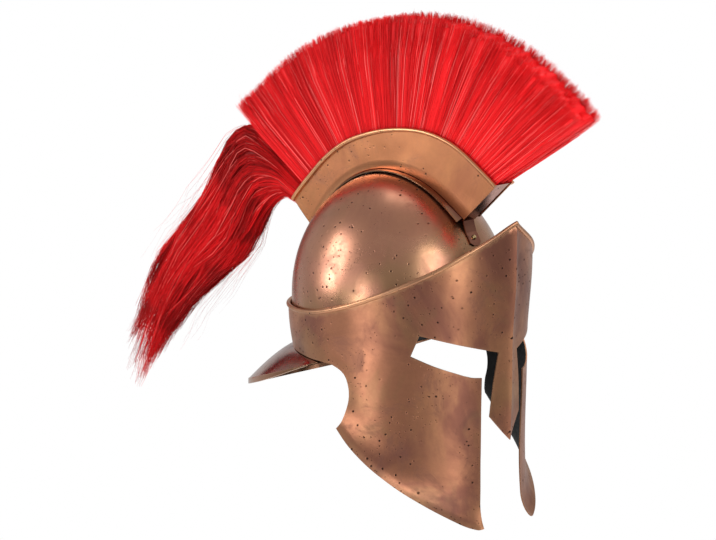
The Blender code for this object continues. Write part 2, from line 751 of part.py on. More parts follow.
def make_tab_rivet():
    """Domed rivet head on the tab."""
    turn = math.radians(RIVET_ANGLE)
    seat = dome_profile(RIVET_ANGLE) + 2 * CLEARANCE + SHEET
    ahead = np.array(crest_point(RIVET_ANGLE + 0.5, dome_profile(RIVET_ANGLE + 0.5), 0.0))
    behind = np.array(crest_point(RIVET_ANGLE - 0.5, dome_profile(RIVET_ANGLE - 0.5), 0.0))
    along = (ahead - behind) / np.linalg.norm(ahead - behind)
    across = np.array([1.0, 0.0, 0.0])
    normal = np.cross(across, along)
    if normal[2] < 0:
        normal = -normal
    centre = np.array(crest_point(RIVET_ANGLE, seat, 0.0))
    sides = 12
    loops = []
    for radius, height in ((1.0, 0.0), (0.95, 0.35), (0.72, 0.75), (0.35, 0.97)):
        loop = []
        for k in range(sides):
            spin = 2 * math.pi * k / sides
            flat = (across * math.cos(spin) + along * math.sin(spin)) * radius * RIVET_RADIUS
            loop.append(centre + flat + normal * height * RIVET_HEIGHT)
        loops.append(loop)
    vertices, faces = loops_solid(loops)
    return solid("tab_rivet", vertices, faces, BRASS, 0.25)


# Horsehair

def mane_root(share):
    return MANE_REAR_ANGLE + (MANE_FRONT_ANGLE - MANE_REAR_ANGLE) * share


def mane_tip(share):
    """Tip of the hair whose root lies at a share of the mane, in the middle plane."""
    angle = curve_value(MANE, "tip_angle", share, "root")
    root = plate_top(mane_root(share))
    reach = MANE_LENGTH * curve_value(MANE, "length", share, "root")
    return np.array(crest_point(angle, root + reach, 0.0))


def make_plume_mane():
    """Fan of locks on the backing strip that fills the crest holder."""
    columns = LOCK_COUNT * 2 + 1
    half_root = PLATE_INNER - CLEARANCE
    rows = (0.0, 0.12, 0.4, 0.72, 0.94, 1.0)
    loops = []
    for i in range(columns):
        share = i / (columns - 1)
        crown = i % 2
        angle = mane_root(share)
        floor = np.array(crest_point(angle, saddle_top(angle) + CLEARANCE, 0.0))
        root = np.array(crest_point(angle, plate_top(angle), 0.0))
        tip = mane_tip(share)
        ragged = LOCK_STEP * math.sin(i * 2.4) * 0.5 - LOCK_STEP * (0.5 - 0.5 * crown)
        tip = tip + (tip - root) / np.linalg.norm(tip - root) * ragged
        side_line = [(floor, half_root)]
        for row in rows:
            spread = half_root + (MANE_TIP_WIDTH / 2 - half_root) * math.sin(row * math.pi / 2)
            relief = LOCK_RELIEF * min(row / 0.4, 1.0) * (crown - 1)
            if row == 1.0:
                spread *= 0.45
            side_line.append((root + (tip - root) * row, spread + relief))
        loop = [p + np.array([w, 0, 0]) for p, w in side_line]
        loop += [p - np.array([w, 0, 0]) for p, w in reversed(side_line)]
        loops.append(loop)
    vertices, faces = loops_solid(loops, True)
    return solid("plume_mane", vertices, faces, PLUME_RED, 0.6, 0.0, 60)


def tail_point(back, down, side=0.0):
    """Point of the tail from shares of its length behind and below its root."""
    angle = (MANE_REAR_ANGLE + CREST_REAR_ANGLE) / 2
    root = crest_point(angle, plate_top(angle) - TAIL_ROOT_DROP, 0.0)
    return np.array([side, root[1] + TAIL_LENGTH * back, root[2] - TAIL_LENGTH * down])


def tail_station(at):
    """Upper and lower edge and half thickness of the tail at a station number."""
    table = (("key", *TAIL[0]),) + tuple((i, *row) for i, row in enumerate(TAIL[1:]))
    back, down, low_back, low_down, thick = (curve_value(table, n, at, "key") for n in TAIL[0])
    return tail_point(back, down), tail_point(low_back, low_down), TAIL_THICKNESS / 2 * thick


TAIL_SIDES = 20
TAIL_ROWS = 14
LOCK_GROOVE = 0.16


def tail_loop(upper, lower, half, groove):
    """Loop round the tail, with grooves between its locks."""
    middle, across = (upper + lower) / 2, (upper - lower) / 2
    loop = []
    for k in range(TAIL_SIDES):
        turn = 2 * math.pi * k / TAIL_SIDES
        depth = 1 - groove * (k % 2)
        side = np.array([half * math.sin(turn) * depth, 0.0, 0.0])
        loop.append(middle + across * math.cos(turn) * (1 - groove * 0.4 * (k % 2)) + side)
    return loop


def make_plume_tail():
    """Hanging tail: a root in the holder, one body of hair and the locks that part from it."""
    half_root = PLATE_INNER - CLEARANCE
    loops = []
    for radius_share in (0.0, 0.55, 1.0):
        ends = []
        for angle in (MANE_REAR_ANGLE - 1.0, CREST_REAR_ANGLE + 0.6):
            low, high = saddle_top(angle) + CLEARANCE, plate_top(angle)
            ends.append(np.array(crest_point(angle, low + (high - low) * radius_share, 0.0)))
        loops.append(tail_loop(ends[0], ends[1], half_root, 0.0))
    last = len(TAIL) - 2
    for i in range(TAIL_ROWS):
        at = last * i / (TAIL_ROWS - 1)
        upper, lower, half = tail_station(at)
        loops.append(tail_loop(upper, lower, half, LOCK_GROOVE * smooth(at / 3)))
    vertices, faces = loops_solid(loops)
    body = solid("plume_tail", vertices, faces, PLUME_RED, 0.6, 0.0, 60)
    for station, place, radius, back, down, side in TAIL_LOCKS[1:]:
        upper, lower, half = tail_station(station)
        before = tail_station(station - 1.5)
        middle = (upper + lower) / 2 + (upper - lower) / 2 * place
        start = (before[0] + before[1]) / 2 + (before[0] - before[1]) / 2 * place * 0.7
        tip = tail_point(back, down, TAIL_LENGTH * side)
        lock = []
        for share in (0.0, 0.3, 0.55, 0.78, 1.0):
            centre = start * (1 - share) ** 2 + middle * 2 * share * (1 - share) + tip * share**2
            ahead = (middle - start) * (1 - share) + (tip - middle) * share
            across = np.array([0.0, ahead[2], -ahead[1]]) / np.linalg.norm(ahead[1:])
            size = TAIL_THICKNESS * radius * (1 - share) ** 0.7 + LOCK_TIP_RADIUS
            lock.append([
                centre + across * size * math.cos(math.pi * k / 4)
                + np.array([size * math.sin(math.pi * k / 4), 0.0, 0.0])
                for k in range(8)
            ])
        piece = solid("tail_lock", *loops_solid(lock), PLUME_RED)
        piece.hide_render = True
        piece.display_type = "WIRE"
        join = body.modifiers.new("join_lock", "BOOLEAN")
        join.operation = "UNION"
        join.solver = "EXACT"
        join.object = piece
    return body


def main():
    for old in list(bpy.data.objects):
        bpy.data.objects.remove(old, do_unlink=True)
    make_skull_dome()
    make_face_guard()
    make_nape_guard()
    make_crest_saddle()
    make_crest_plate(1)
    make_crest_plate(-1)
    make_crest_front()
    make_tab_rivet()
    make_plume_mane()
    make_plume_tail()


main()
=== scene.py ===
import math
import random

import bmesh
import bpy
import numpy as np
from mathutils import Matrix, Vector, geometry


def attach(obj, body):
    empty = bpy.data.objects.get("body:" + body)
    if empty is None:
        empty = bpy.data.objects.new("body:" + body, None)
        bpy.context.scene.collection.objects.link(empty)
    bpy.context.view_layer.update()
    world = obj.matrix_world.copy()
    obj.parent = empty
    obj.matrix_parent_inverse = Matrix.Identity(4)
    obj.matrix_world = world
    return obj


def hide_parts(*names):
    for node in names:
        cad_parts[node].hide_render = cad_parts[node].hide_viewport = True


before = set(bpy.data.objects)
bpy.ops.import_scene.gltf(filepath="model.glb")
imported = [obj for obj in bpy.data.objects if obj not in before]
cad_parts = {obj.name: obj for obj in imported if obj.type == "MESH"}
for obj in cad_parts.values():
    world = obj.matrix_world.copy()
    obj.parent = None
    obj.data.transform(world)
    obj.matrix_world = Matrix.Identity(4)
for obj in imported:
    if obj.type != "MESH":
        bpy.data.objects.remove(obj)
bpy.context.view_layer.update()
scene = bpy.context.scene

# Sizes of the metal, in metres
SHEET, SEAT_GAP, CLEARANCE = 0.0012, 0.0007, 0.0003
BEAD_RADIUS, BEAD_INSET = 0.0021, 0.0002
DOME_WIDTH, DOME_FRONT, DOME_REAR, DOME_HEIGHT = 0.184, 0.112, 0.106, 0.118
SKIRT_DEPTH, BROW_SKIRT_DEPTH, SKIRT_TUCK_SHARE = 0.024, 0.005, 0.25
GUARD_WIDTH, GUARD_FRONT, GUARD_REAR, GUARD_SHIFT = 0.194, 0.1245, 0.1252, 0.015
GUARD_DEPTH, PEAK_DROP = 0.2833, 0.0283
RIDGE_RISE_TOP, RIDGE_RISE_TIP, RIDGE_SPREAD = 0.0067, 0.0062, 0.010
NAPE_TUCK, NAPE_TUCK_START, NAPE_TUCK_SPAN = 0.0045, 95, 30
SKIRT_HOLD_START, SKIRT_HOLD_SPAN = 48, 30
FLARE_TIP, FLARE_CORNER, FLARE_REACH = 0.0075, 0.0052, 0.022
FRONT_TUCK, CHEEK_TUCK, CHEEK_TUCK_REACH = 0.0042, 0.0022, 0.140
LIP_WIDTH, LIP_RISE = 0.005, 0.0015
NAPE_START, NAPE_EDGE_WIDTH, NAPE_EDGE_REAR, NAPE_EDGE_SHIFT = 101.5, 0.195, 0.1665, 0.010
NAPE_SLOPE, NAPE_RIM, NAPE_FLANGE = 0.32, 0.006, 0.009
NAPE_DROP, NAPE_BEND = 0.0002, 0.0016
CREST_FRONT_ANGLE, CREST_REAR_ANGLE, CREST_END_SLANT = 47.4, -59.5, 4.0
SADDLE_FRONT_ANGLE, MANE_FRONT_ANGLE, MANE_REAR_ANGLE = 46.1, 46.2, -50.0
CREST_WIDTH, CREST_HEIGHT, SADDLE_RISE, SADDLE_WIDTH = 0.022, 0.0545, 0.009, 0.030
SADDLE_LIP, SADDLE_LIP_RISE = 0.0011, 0.35
MANE_LENGTH, MANE_TIP_WIDTH, MANE_ROOT_DROP = 0.1223, 0.034, 0.006
MANE_CORE_INSET, MANE_GROOVE = 0.0016, 0.0022
TAIL_LENGTH, TAIL_THICKNESS, TAIL_ROOT_DROP, TAIL_PARTING = 0.365, 0.034, 0.004, 0.45
TAIL_HELD = 1.6
GUARD_STEP, EDGE_STEP, SLOPE_STEP = 0.0036, 0.004, 0.0005

# Outlines on the unrolled guard: angle round the helmet from its ridge, depth as a share
SHARES = ("angle", "share")
RIM = (SHARES, (0.0, 0.0), (12.2, 0.042), (28.3, 0.093), (43.2, 0.146), (57.4, 0.194), (72.0, 0.241),
       (88.0, 0.286), (109.5, 0.326), (140.0, 0.341), (180.0, 0.345))
BAND_EDGE = (SHARES, (94.0, 0.487), (101.7, 0.486), (118.0, 0.4896), (180.0, 0.493))
NECK_CUT = (SHARES, (94.0, 0.487), (89.2, 0.499), (86.0, 0.5189), (84.2, 0.556), (84.2, 0.5937),
            (85.6, 0.6308), (87.2, 0.6693), (88.4, 0.688))
CHEEK_EDGE = (SHARES, (88.4, 0.688), (82.0, 0.7399), (73.5, 0.7935), (65.6, 0.8348), (57.9, 0.8715),
              (50.5, 0.9026), (43.1, 0.9319), (35.6, 0.9594), (28.0, 0.9852), (21.5, 0.999), (18.6, 0.996))
FACE_EDGE = (SHARES, (18.6, 0.996), (18.4, 0.93), (18.0, 0.86), (17.9, 0.735), (18.1, 0.6), (18.0, 0.5058))
EYE_LOWER = (SHARES, (18.0, 0.5058), (24.3, 0.502), (32.0, 0.4874), (43.0, 0.464), (54.6, 0.4318))
EYE_UPPER = (SHARES, (50.4, 0.3635), (30.0, 0.3955), (7.8, 0.4275))
NASAL = (SHARES, (7.8, 0.4275), (10.7, 0.52), (12.3, 0.6), (12.9, 0.637), (0.0, 0.72))

CREST_PLATE = (SHARES, (-59.5, 0.68), (-45.0, 0.588), (-34.0, 0.588), (-22.0, 0.612), (-10.0, 0.64),
               (3.0, 0.73), (16.0, 0.87), (28.0, 0.955), (38.0, 0.975), (47.4, 1.0))
SADDLE = (("angle", "rise", "width"), (-59.5, 0.22, 0.84), (-20.0, 0.22, 0.92), (3.0, 0.24, 0.98),
          (17.0, 0.27, 1.0), (32.0, 0.45, 0.98), (40.0, 0.64, 0.95), (47.4, 1.0, 0.86))
MANE = (("root", "tip_angle", "length"), (0.0, -50.5, 0.86), (0.12, -41.0, 0.818), (0.25, -28.0, 0.805),
        (0.4, -10.5, 0.825), (0.55, 4.5, 0.865), (0.7, 20.5, 0.902), (0.82, 33.0, 0.95), (0.92, 43.5, 0.995),
        (1.0, 50.6, 1.008))
TAIL = (("upper_back", "upper_down", "lower_back", "lower_down", "thick"),
        (0.063, -0.075, 0.052, 0.006, 0.62), (0.126, -0.121, 0.095, 0.021, 0.74),
        (0.2, -0.15, 0.135, 0.056, 0.86), (0.258, -0.106, 0.16, 0.09, 0.96),
        (0.3, -0.045, 0.184, 0.133, 1.0), (0.345, 0.028, 0.222, 0.184, 1.0), (0.4, 0.096, 0.27, 0.224, 0.98),
        (0.46, 0.152, 0.335, 0.272, 0.94), (0.518, 0.214, 0.395, 0.32, 0.88),
        (0.556, 0.272, 0.448, 0.364, 0.8), (0.586, 0.334, 0.492, 0.402, 0.66),
        (0.61, 0.405, 0.538, 0.452, 0.5))
TAIL_ENDS = (("place", "tip_back", "tip_down"), (-1.0, 0.545, 0.485), (-0.6, 0.577, 0.525),
             (-0.2, 0.606, 0.56), (0.15, 0.638, 0.614), (0.55, 0.66, 0.505), (1.0, 0.664, 0.45))

DOME_CENTRE = SHEET - DOME_HEIGHT
PLATE_OUTER = CREST_WIDTH / 2
PLATE_INNER = PLATE_OUTER - SHEET
UNROLL = math.radians(1.0) * (GUARD_WIDTH / 2 + GUARD_FRONT + GUARD_REAR) / 3
UPWARD = np.array([0.0, 0.0, 1.0])

# Camera of the photograph, in degrees and metres
VIEW_TURN, VIEW_RISE, VIEW_DISTANCE = -47, 11, 4.0
VIEW_HEIGHT, VIEW_LEFT, VIEW_UP = -0.1165, 0.0369, 0.02325
LIGHT_CENTRE = Vector((0, 0, -0.12))


def placed(name, data):
    """Object at the origin that holds the data."""
    thing = bpy.data.objects.new(name, data)
    scene.collection.objects.link(thing)
    return thing


def direction(turn, rise):
    """Way out from the helmet: turn 0 in front of the face, rise above the level."""
    turn, rise = math.radians(turn), math.radians(rise)
    return Vector((math.sin(turn) * math.cos(rise), -math.cos(turn) * math.cos(rise), math.sin(rise)))


back, right = direction(VIEW_TURN, VIEW_RISE), direction(VIEW_TURN + 90, 0)
up = back.cross(right)
view_data = bpy.data.cameras.new("photo_view")
view_data.sensor_width, view_data.lens, view_data.clip_end = 36, 216.25, 30
photo_view = placed("photo_view", view_data)
stand = Matrix((right, up, back)).transposed().to_4x4()
stand.translation = Vector((0, 0, VIEW_HEIGHT)) + back * VIEW_DISTANCE - right * VIEW_LEFT + up * VIEW_UP
photo_view.matrix_world = stand
bpy.context.scene.camera = photo_view


def smooth(value):
    value = min(max(value, 0.0), 1.0)
    return value * value * (3 - 2 * value)


def hermite(s, start, end, leave, arrive):
    return ((2 * s**3 - 3 * s**2 + 1) * start + (s**3 - 2 * s**2 + s) * leave
            + (3 * s**2 - 2 * s**3) * end + (s**3 - s**2) * arrive)


def curve_value(table, name, at, key="angle"):
    keys, values = ([row[table[0].index(label)] for row in table[1:]] for label in (key, name))
    if at <= keys[0]:
        return values[0]
    if at >= keys[-1]:
        return values[-1]

    def slope(i):
        low, high = max(i - 1, 0), min(i + 1, len(keys) - 1)
        return (values[high] - values[low]) / (keys[high] - keys[low])

    i = max(k for k in range(len(keys) - 1) if keys[k] <= at)
    span = keys[i + 1] - keys[i]
    return hermite((at - keys[i]) / span, values[i], values[i + 1], span * slope(i), span * slope(i + 1))


def curve_points(table, step):
    rows = [(a * UNROLL, -s * GUARD_DEPTH) for a, s in table[1:]]
    points = []
    for i in range(len(rows) - 1):
        before, start = rows[max(i - 1, 0)], rows[i]
        end, after = rows[i + 1], rows[min(i + 2, len(rows) - 1)]
        count = max(1, round(math.dist(start, end) / step))
        for k in range(count):
            points.append(tuple(hermite(k / count, start[c], end[c], (end[c] - before[c]) / 2,
                                        (after[c] - start[c]) / 2) for c in range(2)))
    points.append(rows[-1])
    return points


def mesh_piece(name, vertices, faces, materials, slots=None, values=None, sharp=None, turned=True):
    """Mesh piece in the row frame. values holds named numbers for each vertex."""
    mesh = bpy.data.meshes.new(name)
    mesh.from_pydata([tuple(v) for v in vertices], [], faces)
    for finish in materials:
        mesh.materials.append(finish)
    if slots is not None:
        mesh.polygons.foreach_set("material_index", slots)
    for label, numbers in (values or {}).items():
        layer = mesh.attributes.new(label, "FLOAT", "POINT")
        layer.data.foreach_set("value", [float(n) for n in numbers])
    mesh.shade_smooth()
    if sharp is not None:
        mesh.set_sharp_from_angle(angle=math.radians(sharp))
    if turned:
        work = bmesh.new()
        work.from_mesh(mesh)
        bmesh.ops.recalc_face_normals(work, faces=work.faces)
        work.to_mesh(mesh)
        work.free()
    return placed(name, mesh)


def loop_faces(count, size, paired=True):
    faces = []
    for i in range(count - 1):
        for k in range(size):
            a, b = i * size + k, i * size + (k + 1) % size
            faces.append((a, b, b + size, a + size))
    for first in (0, (count - 1) * size):
        if paired:
            for k in range(size // 2 - 1):
                faces.append(tuple(first + j for j in (k, k + 1, size - 2 - k, size - 1 - k)))
        else:
            faces.append(tuple(range(first, first + size)))
    return faces


# Guard surface

def fold_angle(angle):
    angle = abs(angle) % 360
    return min(angle, 360 - angle)


def rim_height(angle):
    return -PEAK_DROP - GUARD_DEPTH * curve_value(RIM, "share", fold_angle(angle))


def band_edge_height(angle):
    return -PEAK_DROP - GUARD_DEPTH * curve_value(BAND_EDGE, "share", fold_angle(angle))


def guard_plan(angle, height):
    turned = math.radians(angle)
    reach = GUARD_FRONT if math.cos(turned) > 0 else GUARD_REAR
    x = GUARD_WIDTH / 2 * math.sin(turned)
    y = -GUARD_SHIFT - reach * math.cos(turned)
    outward = np.array([math.sin(turned) / (GUARD_WIDTH / 2), -math.cos(turned) / reach, 0.0])
    outward /= np.linalg.norm(outward)
    if math.cos(turned) > 0:
        share = (-PEAK_DROP - height) / GUARD_DEPTH / NASAL[-1][1]
        rise = RIDGE_RISE_TOP + (RIDGE_RISE_TIP - RIDGE_RISE_TOP) * min(max(share, 0.0), 1.0)
        y -= rise * math.exp(-abs(x) / RIDGE_SPREAD)
    return np.array([x, y, height]), outward


EDGE_POINTS = np.array(curve_points(CHEEK_EDGE, EDGE_STEP))


def nearest(point, start, end):
    """Distance from a point to the nearest of these segments, and the place there."""
    run = end - start
    share = np.clip(((point - start) * run).sum(1) / (run * run).sum(1), 0, 1)
    spots = start + run * share[:, None]
    distance = np.hypot(*(point - spots).T)
    i = int(distance.argmin())
    return float(distance[i]), spots[i]


def edge_distance(angle, height):
    point = np.array([fold_angle(angle) * UNROLL, height + PEAK_DROP])
    distance, spot = nearest(point, EDGE_POINTS[:-1], EDGE_POINTS[1:])
    return distance, float(spot[0]) / UNROLL


def nape_tuck(folded):
    return NAPE_TUCK * smooth((folded - NAPE_TUCK_START) / NAPE_TUCK_SPAN)


def guard_offset(angle, height):
    folded = fold_angle(angle)
    offset = 0.0
    if folded > NAPE_TUCK_START:
        low, high = band_edge_height(angle), rim_height(angle)
        offset -= nape_tuck(folded) * max((high - height) / (high - low), 0.0) ** 2
    level = (-PEAK_DROP - height) / GUARD_DEPTH
    offset -= FRONT_TUCK * smooth((level - 0.16) / 0.26) * smooth((85 - folded) / 50)
    if folded < 97 and level > 0.5:
        distance, edge_angle = edge_distance(angle, height)
        tip = smooth((95 - edge_angle) / 76)
        rise = FLARE_CORNER + (FLARE_TIP - FLARE_CORNER) * tip
        near = max(1 - distance / FLARE_REACH, 0.0)
        offset += rise * near**2 + LIP_RISE * max(1 - distance / LIP_WIDTH, 0.0)
        away = min(max((distance - LIP_WIDTH) / CHEEK_TUCK_REACH, 0.0), 1.0)
        offset -= CHEEK_TUCK * tip * math.sin(math.pi * away**0.75) ** 2
    return offset


def guard_point(angle, height, depth=0.0):
    point, outward = guard_plan(angle, height)
    slope = (guard_offset(angle, height + SLOPE_STEP)
             - guard_offset(angle, height - SLOPE_STEP)) / (2 * SLOPE_STEP)
    normal = outward - UPWARD * slope
    normal /= np.linalg.norm(normal)
    return point + outward * guard_offset(angle, height) - normal * depth


def inside(point, outline):
    x, y = point
    result = False
    for (x0, y0), (x1, y1) in zip(outline, outline[1:] + outline[:1]):
        if (y0 > y) != (y1 > y) and x < (x1 - x0) * (y - y0) / (y1 - y0) + x0:
            result = not result
    return result


def outline_distance(point, outline):
    start = np.array(outline)
    return nearest(np.array(point), start, np.roll(start, -1, axis=0))[0]


def guard_angles():
    angles = [0.0, 0.5, 1.1, 1.9, 2.9, 4.2, 5.8, 7.8, 9.4, 11.2, 13.0, 14.8, 16.4, 18.0]
    rest = 180 - angles[-1]
    count = math.ceil(rest * UNROLL / GUARD_STEP)
    return angles + [angles[-1] + rest * (i + 1) / count for i in range(count)]


def straight(start, end):
    """Points from start towards end, without end."""
    count = max(1, round(math.dist(start, end) / GUARD_STEP))
    return [tuple(start[c] + (end[c] - start[c]) * i / count for c in range(2)) for i in range(count)]


def guard_outline():
    rim = [(a * UNROLL, rim_height(a) + PEAK_DROP - 2 * BEAD_RADIUS) for a in guard_angles()]
    rear_low = (180 * UNROLL, band_edge_height(180) + PEAK_DROP)
    nasal = [(a * UNROLL, -s * GUARD_DEPTH) for a, s in NASAL[1:]]
    points = rim[:-1] + straight(rim[-1], rear_low) + curve_points(BAND_EDGE, GUARD_STEP)[::-1][:-1]
    for table, step in ((NECK_CUT, GUARD_STEP * 0.7), (CHEEK_EDGE, GUARD_STEP), (FACE_EDGE, GUARD_STEP)):
        points += curve_points(table, step)[:-1]
    points += curve_points(EYE_LOWER, GUARD_STEP) + curve_points(EYE_UPPER, GUARD_STEP)[:-1]
    for start, end in zip(nasal, nasal[1:] + rim[:1]):
        points += straight(start, end)
    return points, len(rim)


def guard_inner_points(outline):
    rows = []
    edge = curve_points(CHEEK_EDGE, GUARD_STEP)
    for row in (LIP_WIDTH * 0.5, LIP_WIDTH, LIP_WIDTH + 0.0022, LIP_WIDTH + 0.0050):
        for before, at, after in zip(edge, edge[1:], edge[2:]):
            run = np.array(after) - np.array(before)
            run /= np.linalg.norm(run)
            for side in (1, -1):
                point = (at[0] + side * run[1] * row, at[1] - side * run[0] * row)
                if inside(point, outline) and outline_distance(point, outline) > row * 0.8:
                    rows.append(point)
    near, found = np.array(rows), list(rows)
    levels = math.ceil(-min(v for u, v in outline) / GUARD_STEP)
    for angle in guard_angles()[1:-1]:
        for level in range(levels):
            point = (angle * UNROLL, -(level + 0.5) * GUARD_STEP)
            if (inside(point, outline) and outline_distance(point, outline) >= GUARD_STEP * 0.42
                    and np.hypot(*(near - np.array(point)).T).min() >= GUARD_STEP * 0.6):
                found.append(point)
    return found


def bead_profile(angle, count=15):
    behind, here, ahead = (guard_point(a, rim_height(a)) for a in (angle - 0.4, angle, angle + 0.4))
    along = (ahead - behind) / np.linalg.norm(ahead - behind)
    outward = guard_plan(angle, rim_height(angle))[1]
    upward = np.cross(along, outward)
    upward /= np.linalg.norm(upward)
    if upward[2] < 0:
        upward = -upward
    centre = here - upward * BEAD_RADIUS - outward * BEAD_INSET
    first = math.asin(BEAD_INSET / BEAD_RADIUS)
    last = 2 * math.pi - math.asin((SHEET - BEAD_INSET) / BEAD_RADIUS)
    turns = [first + (last - first) * i / (count - 1) for i in range(count)]
    return [centre + BEAD_RADIUS * (math.sin(t) * outward - math.cos(t) * upward) for t in turns]


def make_guard(outer, inner):
    outline, rim_count = guard_outline()
    flat = outline + guard_inner_points(outline)
    count = len(outline)
    edges = [(i, (i + 1) % count) for i in range(count)]
    result = geometry.delaunay_2d_cdt(flat, edges, [tuple(range(count))], 1, 1e-7)
    points = [tuple(p) for p in result[0]]
    triangles = [tuple(t) for t in result[2]]
    source = [origin[0] if origin else count for origin in result[3]]
    vertices, index, wear_and_highlight = [], {}, []
    for side in (1, -1):
        for i, (u, v) in enumerate(points):
            angle = u / UNROLL
            if side < 0 and (u < 1e-6 or u > 180 * UNROLL - 1e-6):
                index[(side, i)] = index[(1, i)]
                continue
            if source[i] < rim_count:
                profile = bead_profile(side * angle)
                # Rolled brow bead fully brightened: partly real wear, partly a painted highlight along the bead.
                worn_and_lit = [1.0] * len(profile)
            else:
                height = v - PEAK_DROP
                profile = [guard_point(side * angle, height, d) for d in (0.0, SHEET)]
                distance = 0.0 if source[i] < count else outline_distance((u, v), outline)
                if u < 0.012 or u > 180 * UNROLL - 0.012:
                    distance = max(distance, 0.006)
                lip = edge_distance(angle, height)[0]
                # Brighter at cut edges and along the cheek's lower lip: partly real wear, partly a painted
                # highlight on edge and lip.
                worn_and_lit = [max(0.45 * math.exp(-distance / 0.0008), 0.5 * smooth(1.25 - lip / LIP_WIDTH))] * 2
            index[(side, i)] = range(len(vertices), len(vertices) + len(profile))
            vertices += profile
            wear_and_highlight += worn_and_lit
    faces, slots, border = [], [], {}
    for side in (1, -1):
        for triangle in triangles:
            corners = [index[(side, i)] for i in triangle][::side]
            faces += [tuple(c[0] for c in corners), tuple(c[-1] for c in reversed(corners))]
            slots += [0, 1]
            for a, b in zip(corners, corners[1:] + corners[:1]):
                key = (min(a[0], b[0]), max(a[0], b[0]))
                border[key] = None if key in border else (a, b)
    for a, b in filter(None, border.values()):
        if len(a) == len(b):
            faces += [(b[k], a[k], a[k + 1], b[k + 1]) for k in range(len(a) - 1)]
        else:
            faces.append((b[0], *a, *reversed(b[1:])))
    slots += [0] * (len(faces) - len(slots))
    return mesh_piece("guard_sheet", vertices, faces, [outer, inner], slots, {"wear_and_highlight": wear_and_highlight}, 40, turned=False)


# Dome

def band_reach(direction, inset):
    sx, cy = math.sin(direction), -math.cos(direction)
    best = 0.0
    for length in (GUARD_FRONT, GUARD_REAR):
        a = (sx / (GUARD_WIDTH / 2 - inset)) ** 2 + (cy / (length - inset)) ** 2
        b = 2 * cy * GUARD_SHIFT / (length - inset) ** 2
        c = (GUARD_SHIFT / (length - inset)) ** 2 - 1
        reach = (-b + math.sqrt(b * b - 4 * a * c)) / (2 * a)
        if (cy * reach + GUARD_SHIFT < 0) == (length == GUARD_FRONT):
            best = reach
    return best


def dome_reach(direction, depth):
    length = (DOME_FRONT if math.cos(direction) > 0 else DOME_REAR) - depth
    free = 1 / math.hypot(math.sin(direction) / (DOME_WIDTH / 2 - depth), math.cos(direction) / length)
    limit = band_reach(direction, BEAD_RADIUS + BEAD_INSET + SEAT_GAP) - depth
    return free - (free - limit + math.hypot(free - limit, 0.001)) / 2


def ring_point(reach, turn, height):
    return (reach * math.sin(turn), -reach * math.cos(turn), height)


def skirt_point(turn, depth, share):
    """Skirt under the dome: free at the brow, held by the band at the sides and behind."""
    folded = fold_angle(math.degrees(turn))
    hold = smooth((folded - SKIRT_HOLD_START) / SKIRT_HOLD_SPAN)
    free = dome_reach(turn, depth)
    held = band_reach(turn, SHEET + SEAT_GAP + depth) - nape_tuck(folded) * SKIRT_TUCK_SHARE * share
    drop = BROW_SKIRT_DEPTH + (SKIRT_DEPTH - BROW_SKIRT_DEPTH) * hold
    return ring_point(free + (held - free) * hold * smooth((share - 0.6) / 0.4), turn, DOME_CENTRE - drop * share)


def make_dome(outer, inner):
    columns, rows, skirt_rows = 160, 56, 12
    turns = [2 * math.pi * k / columns for k in range(columns)]
    loops = []
    for depth in (0.0, SHEET):
        rings = []
        for i in range(rows):
            rise = math.radians(89.0) * (1 - i / (rows - 1))
            height = DOME_CENTRE + (DOME_HEIGHT - depth) * math.sin(rise)
            rings.append([ring_point(dome_reach(turn, depth) * math.cos(rise), turn, height) for turn in turns])
        rings += [[skirt_point(turn, depth, (i + 1) / skirt_rows) for turn in turns] for i in range(skirt_rows)]
        loops += rings if depth == 0.0 else rings[::-1]
    vertices = [p for ring in loops for p in ring]
    faces, slots = [], []
    for i in range(len(loops) - 1):
        for k in range(columns):
            a, b = i * columns + k, i * columns + (k + 1) % columns
            faces.append((a, a + columns, b + columns, b))
        slots += [0 if i < len(loops) // 2 else 1] * columns
    top = len(vertices)
    vertices += [(0, 0, DOME_CENTRE + DOME_HEIGHT), (0, 0, DOME_CENTRE + DOME_HEIGHT - SHEET)]
    last = (len(loops) - 1) * columns
    for k in range(columns):
        after = (k + 1) % columns
        faces += [(top, k, after), (top + 1, last + after, last + k)]
        slots += [0, 1]
    zero = [0.0] * len(vertices)
    foot = [smooth(1 - (v[2] - rim_height(math.degrees(math.atan2(v[0], -v[1])))) / 0.02) for v in vertices]
    return mesh_piece("dome_shell", vertices, faces, [outer, inner], slots, {"wear_and_highlight": zero, "foot": foot}, 50)


# Nape guard

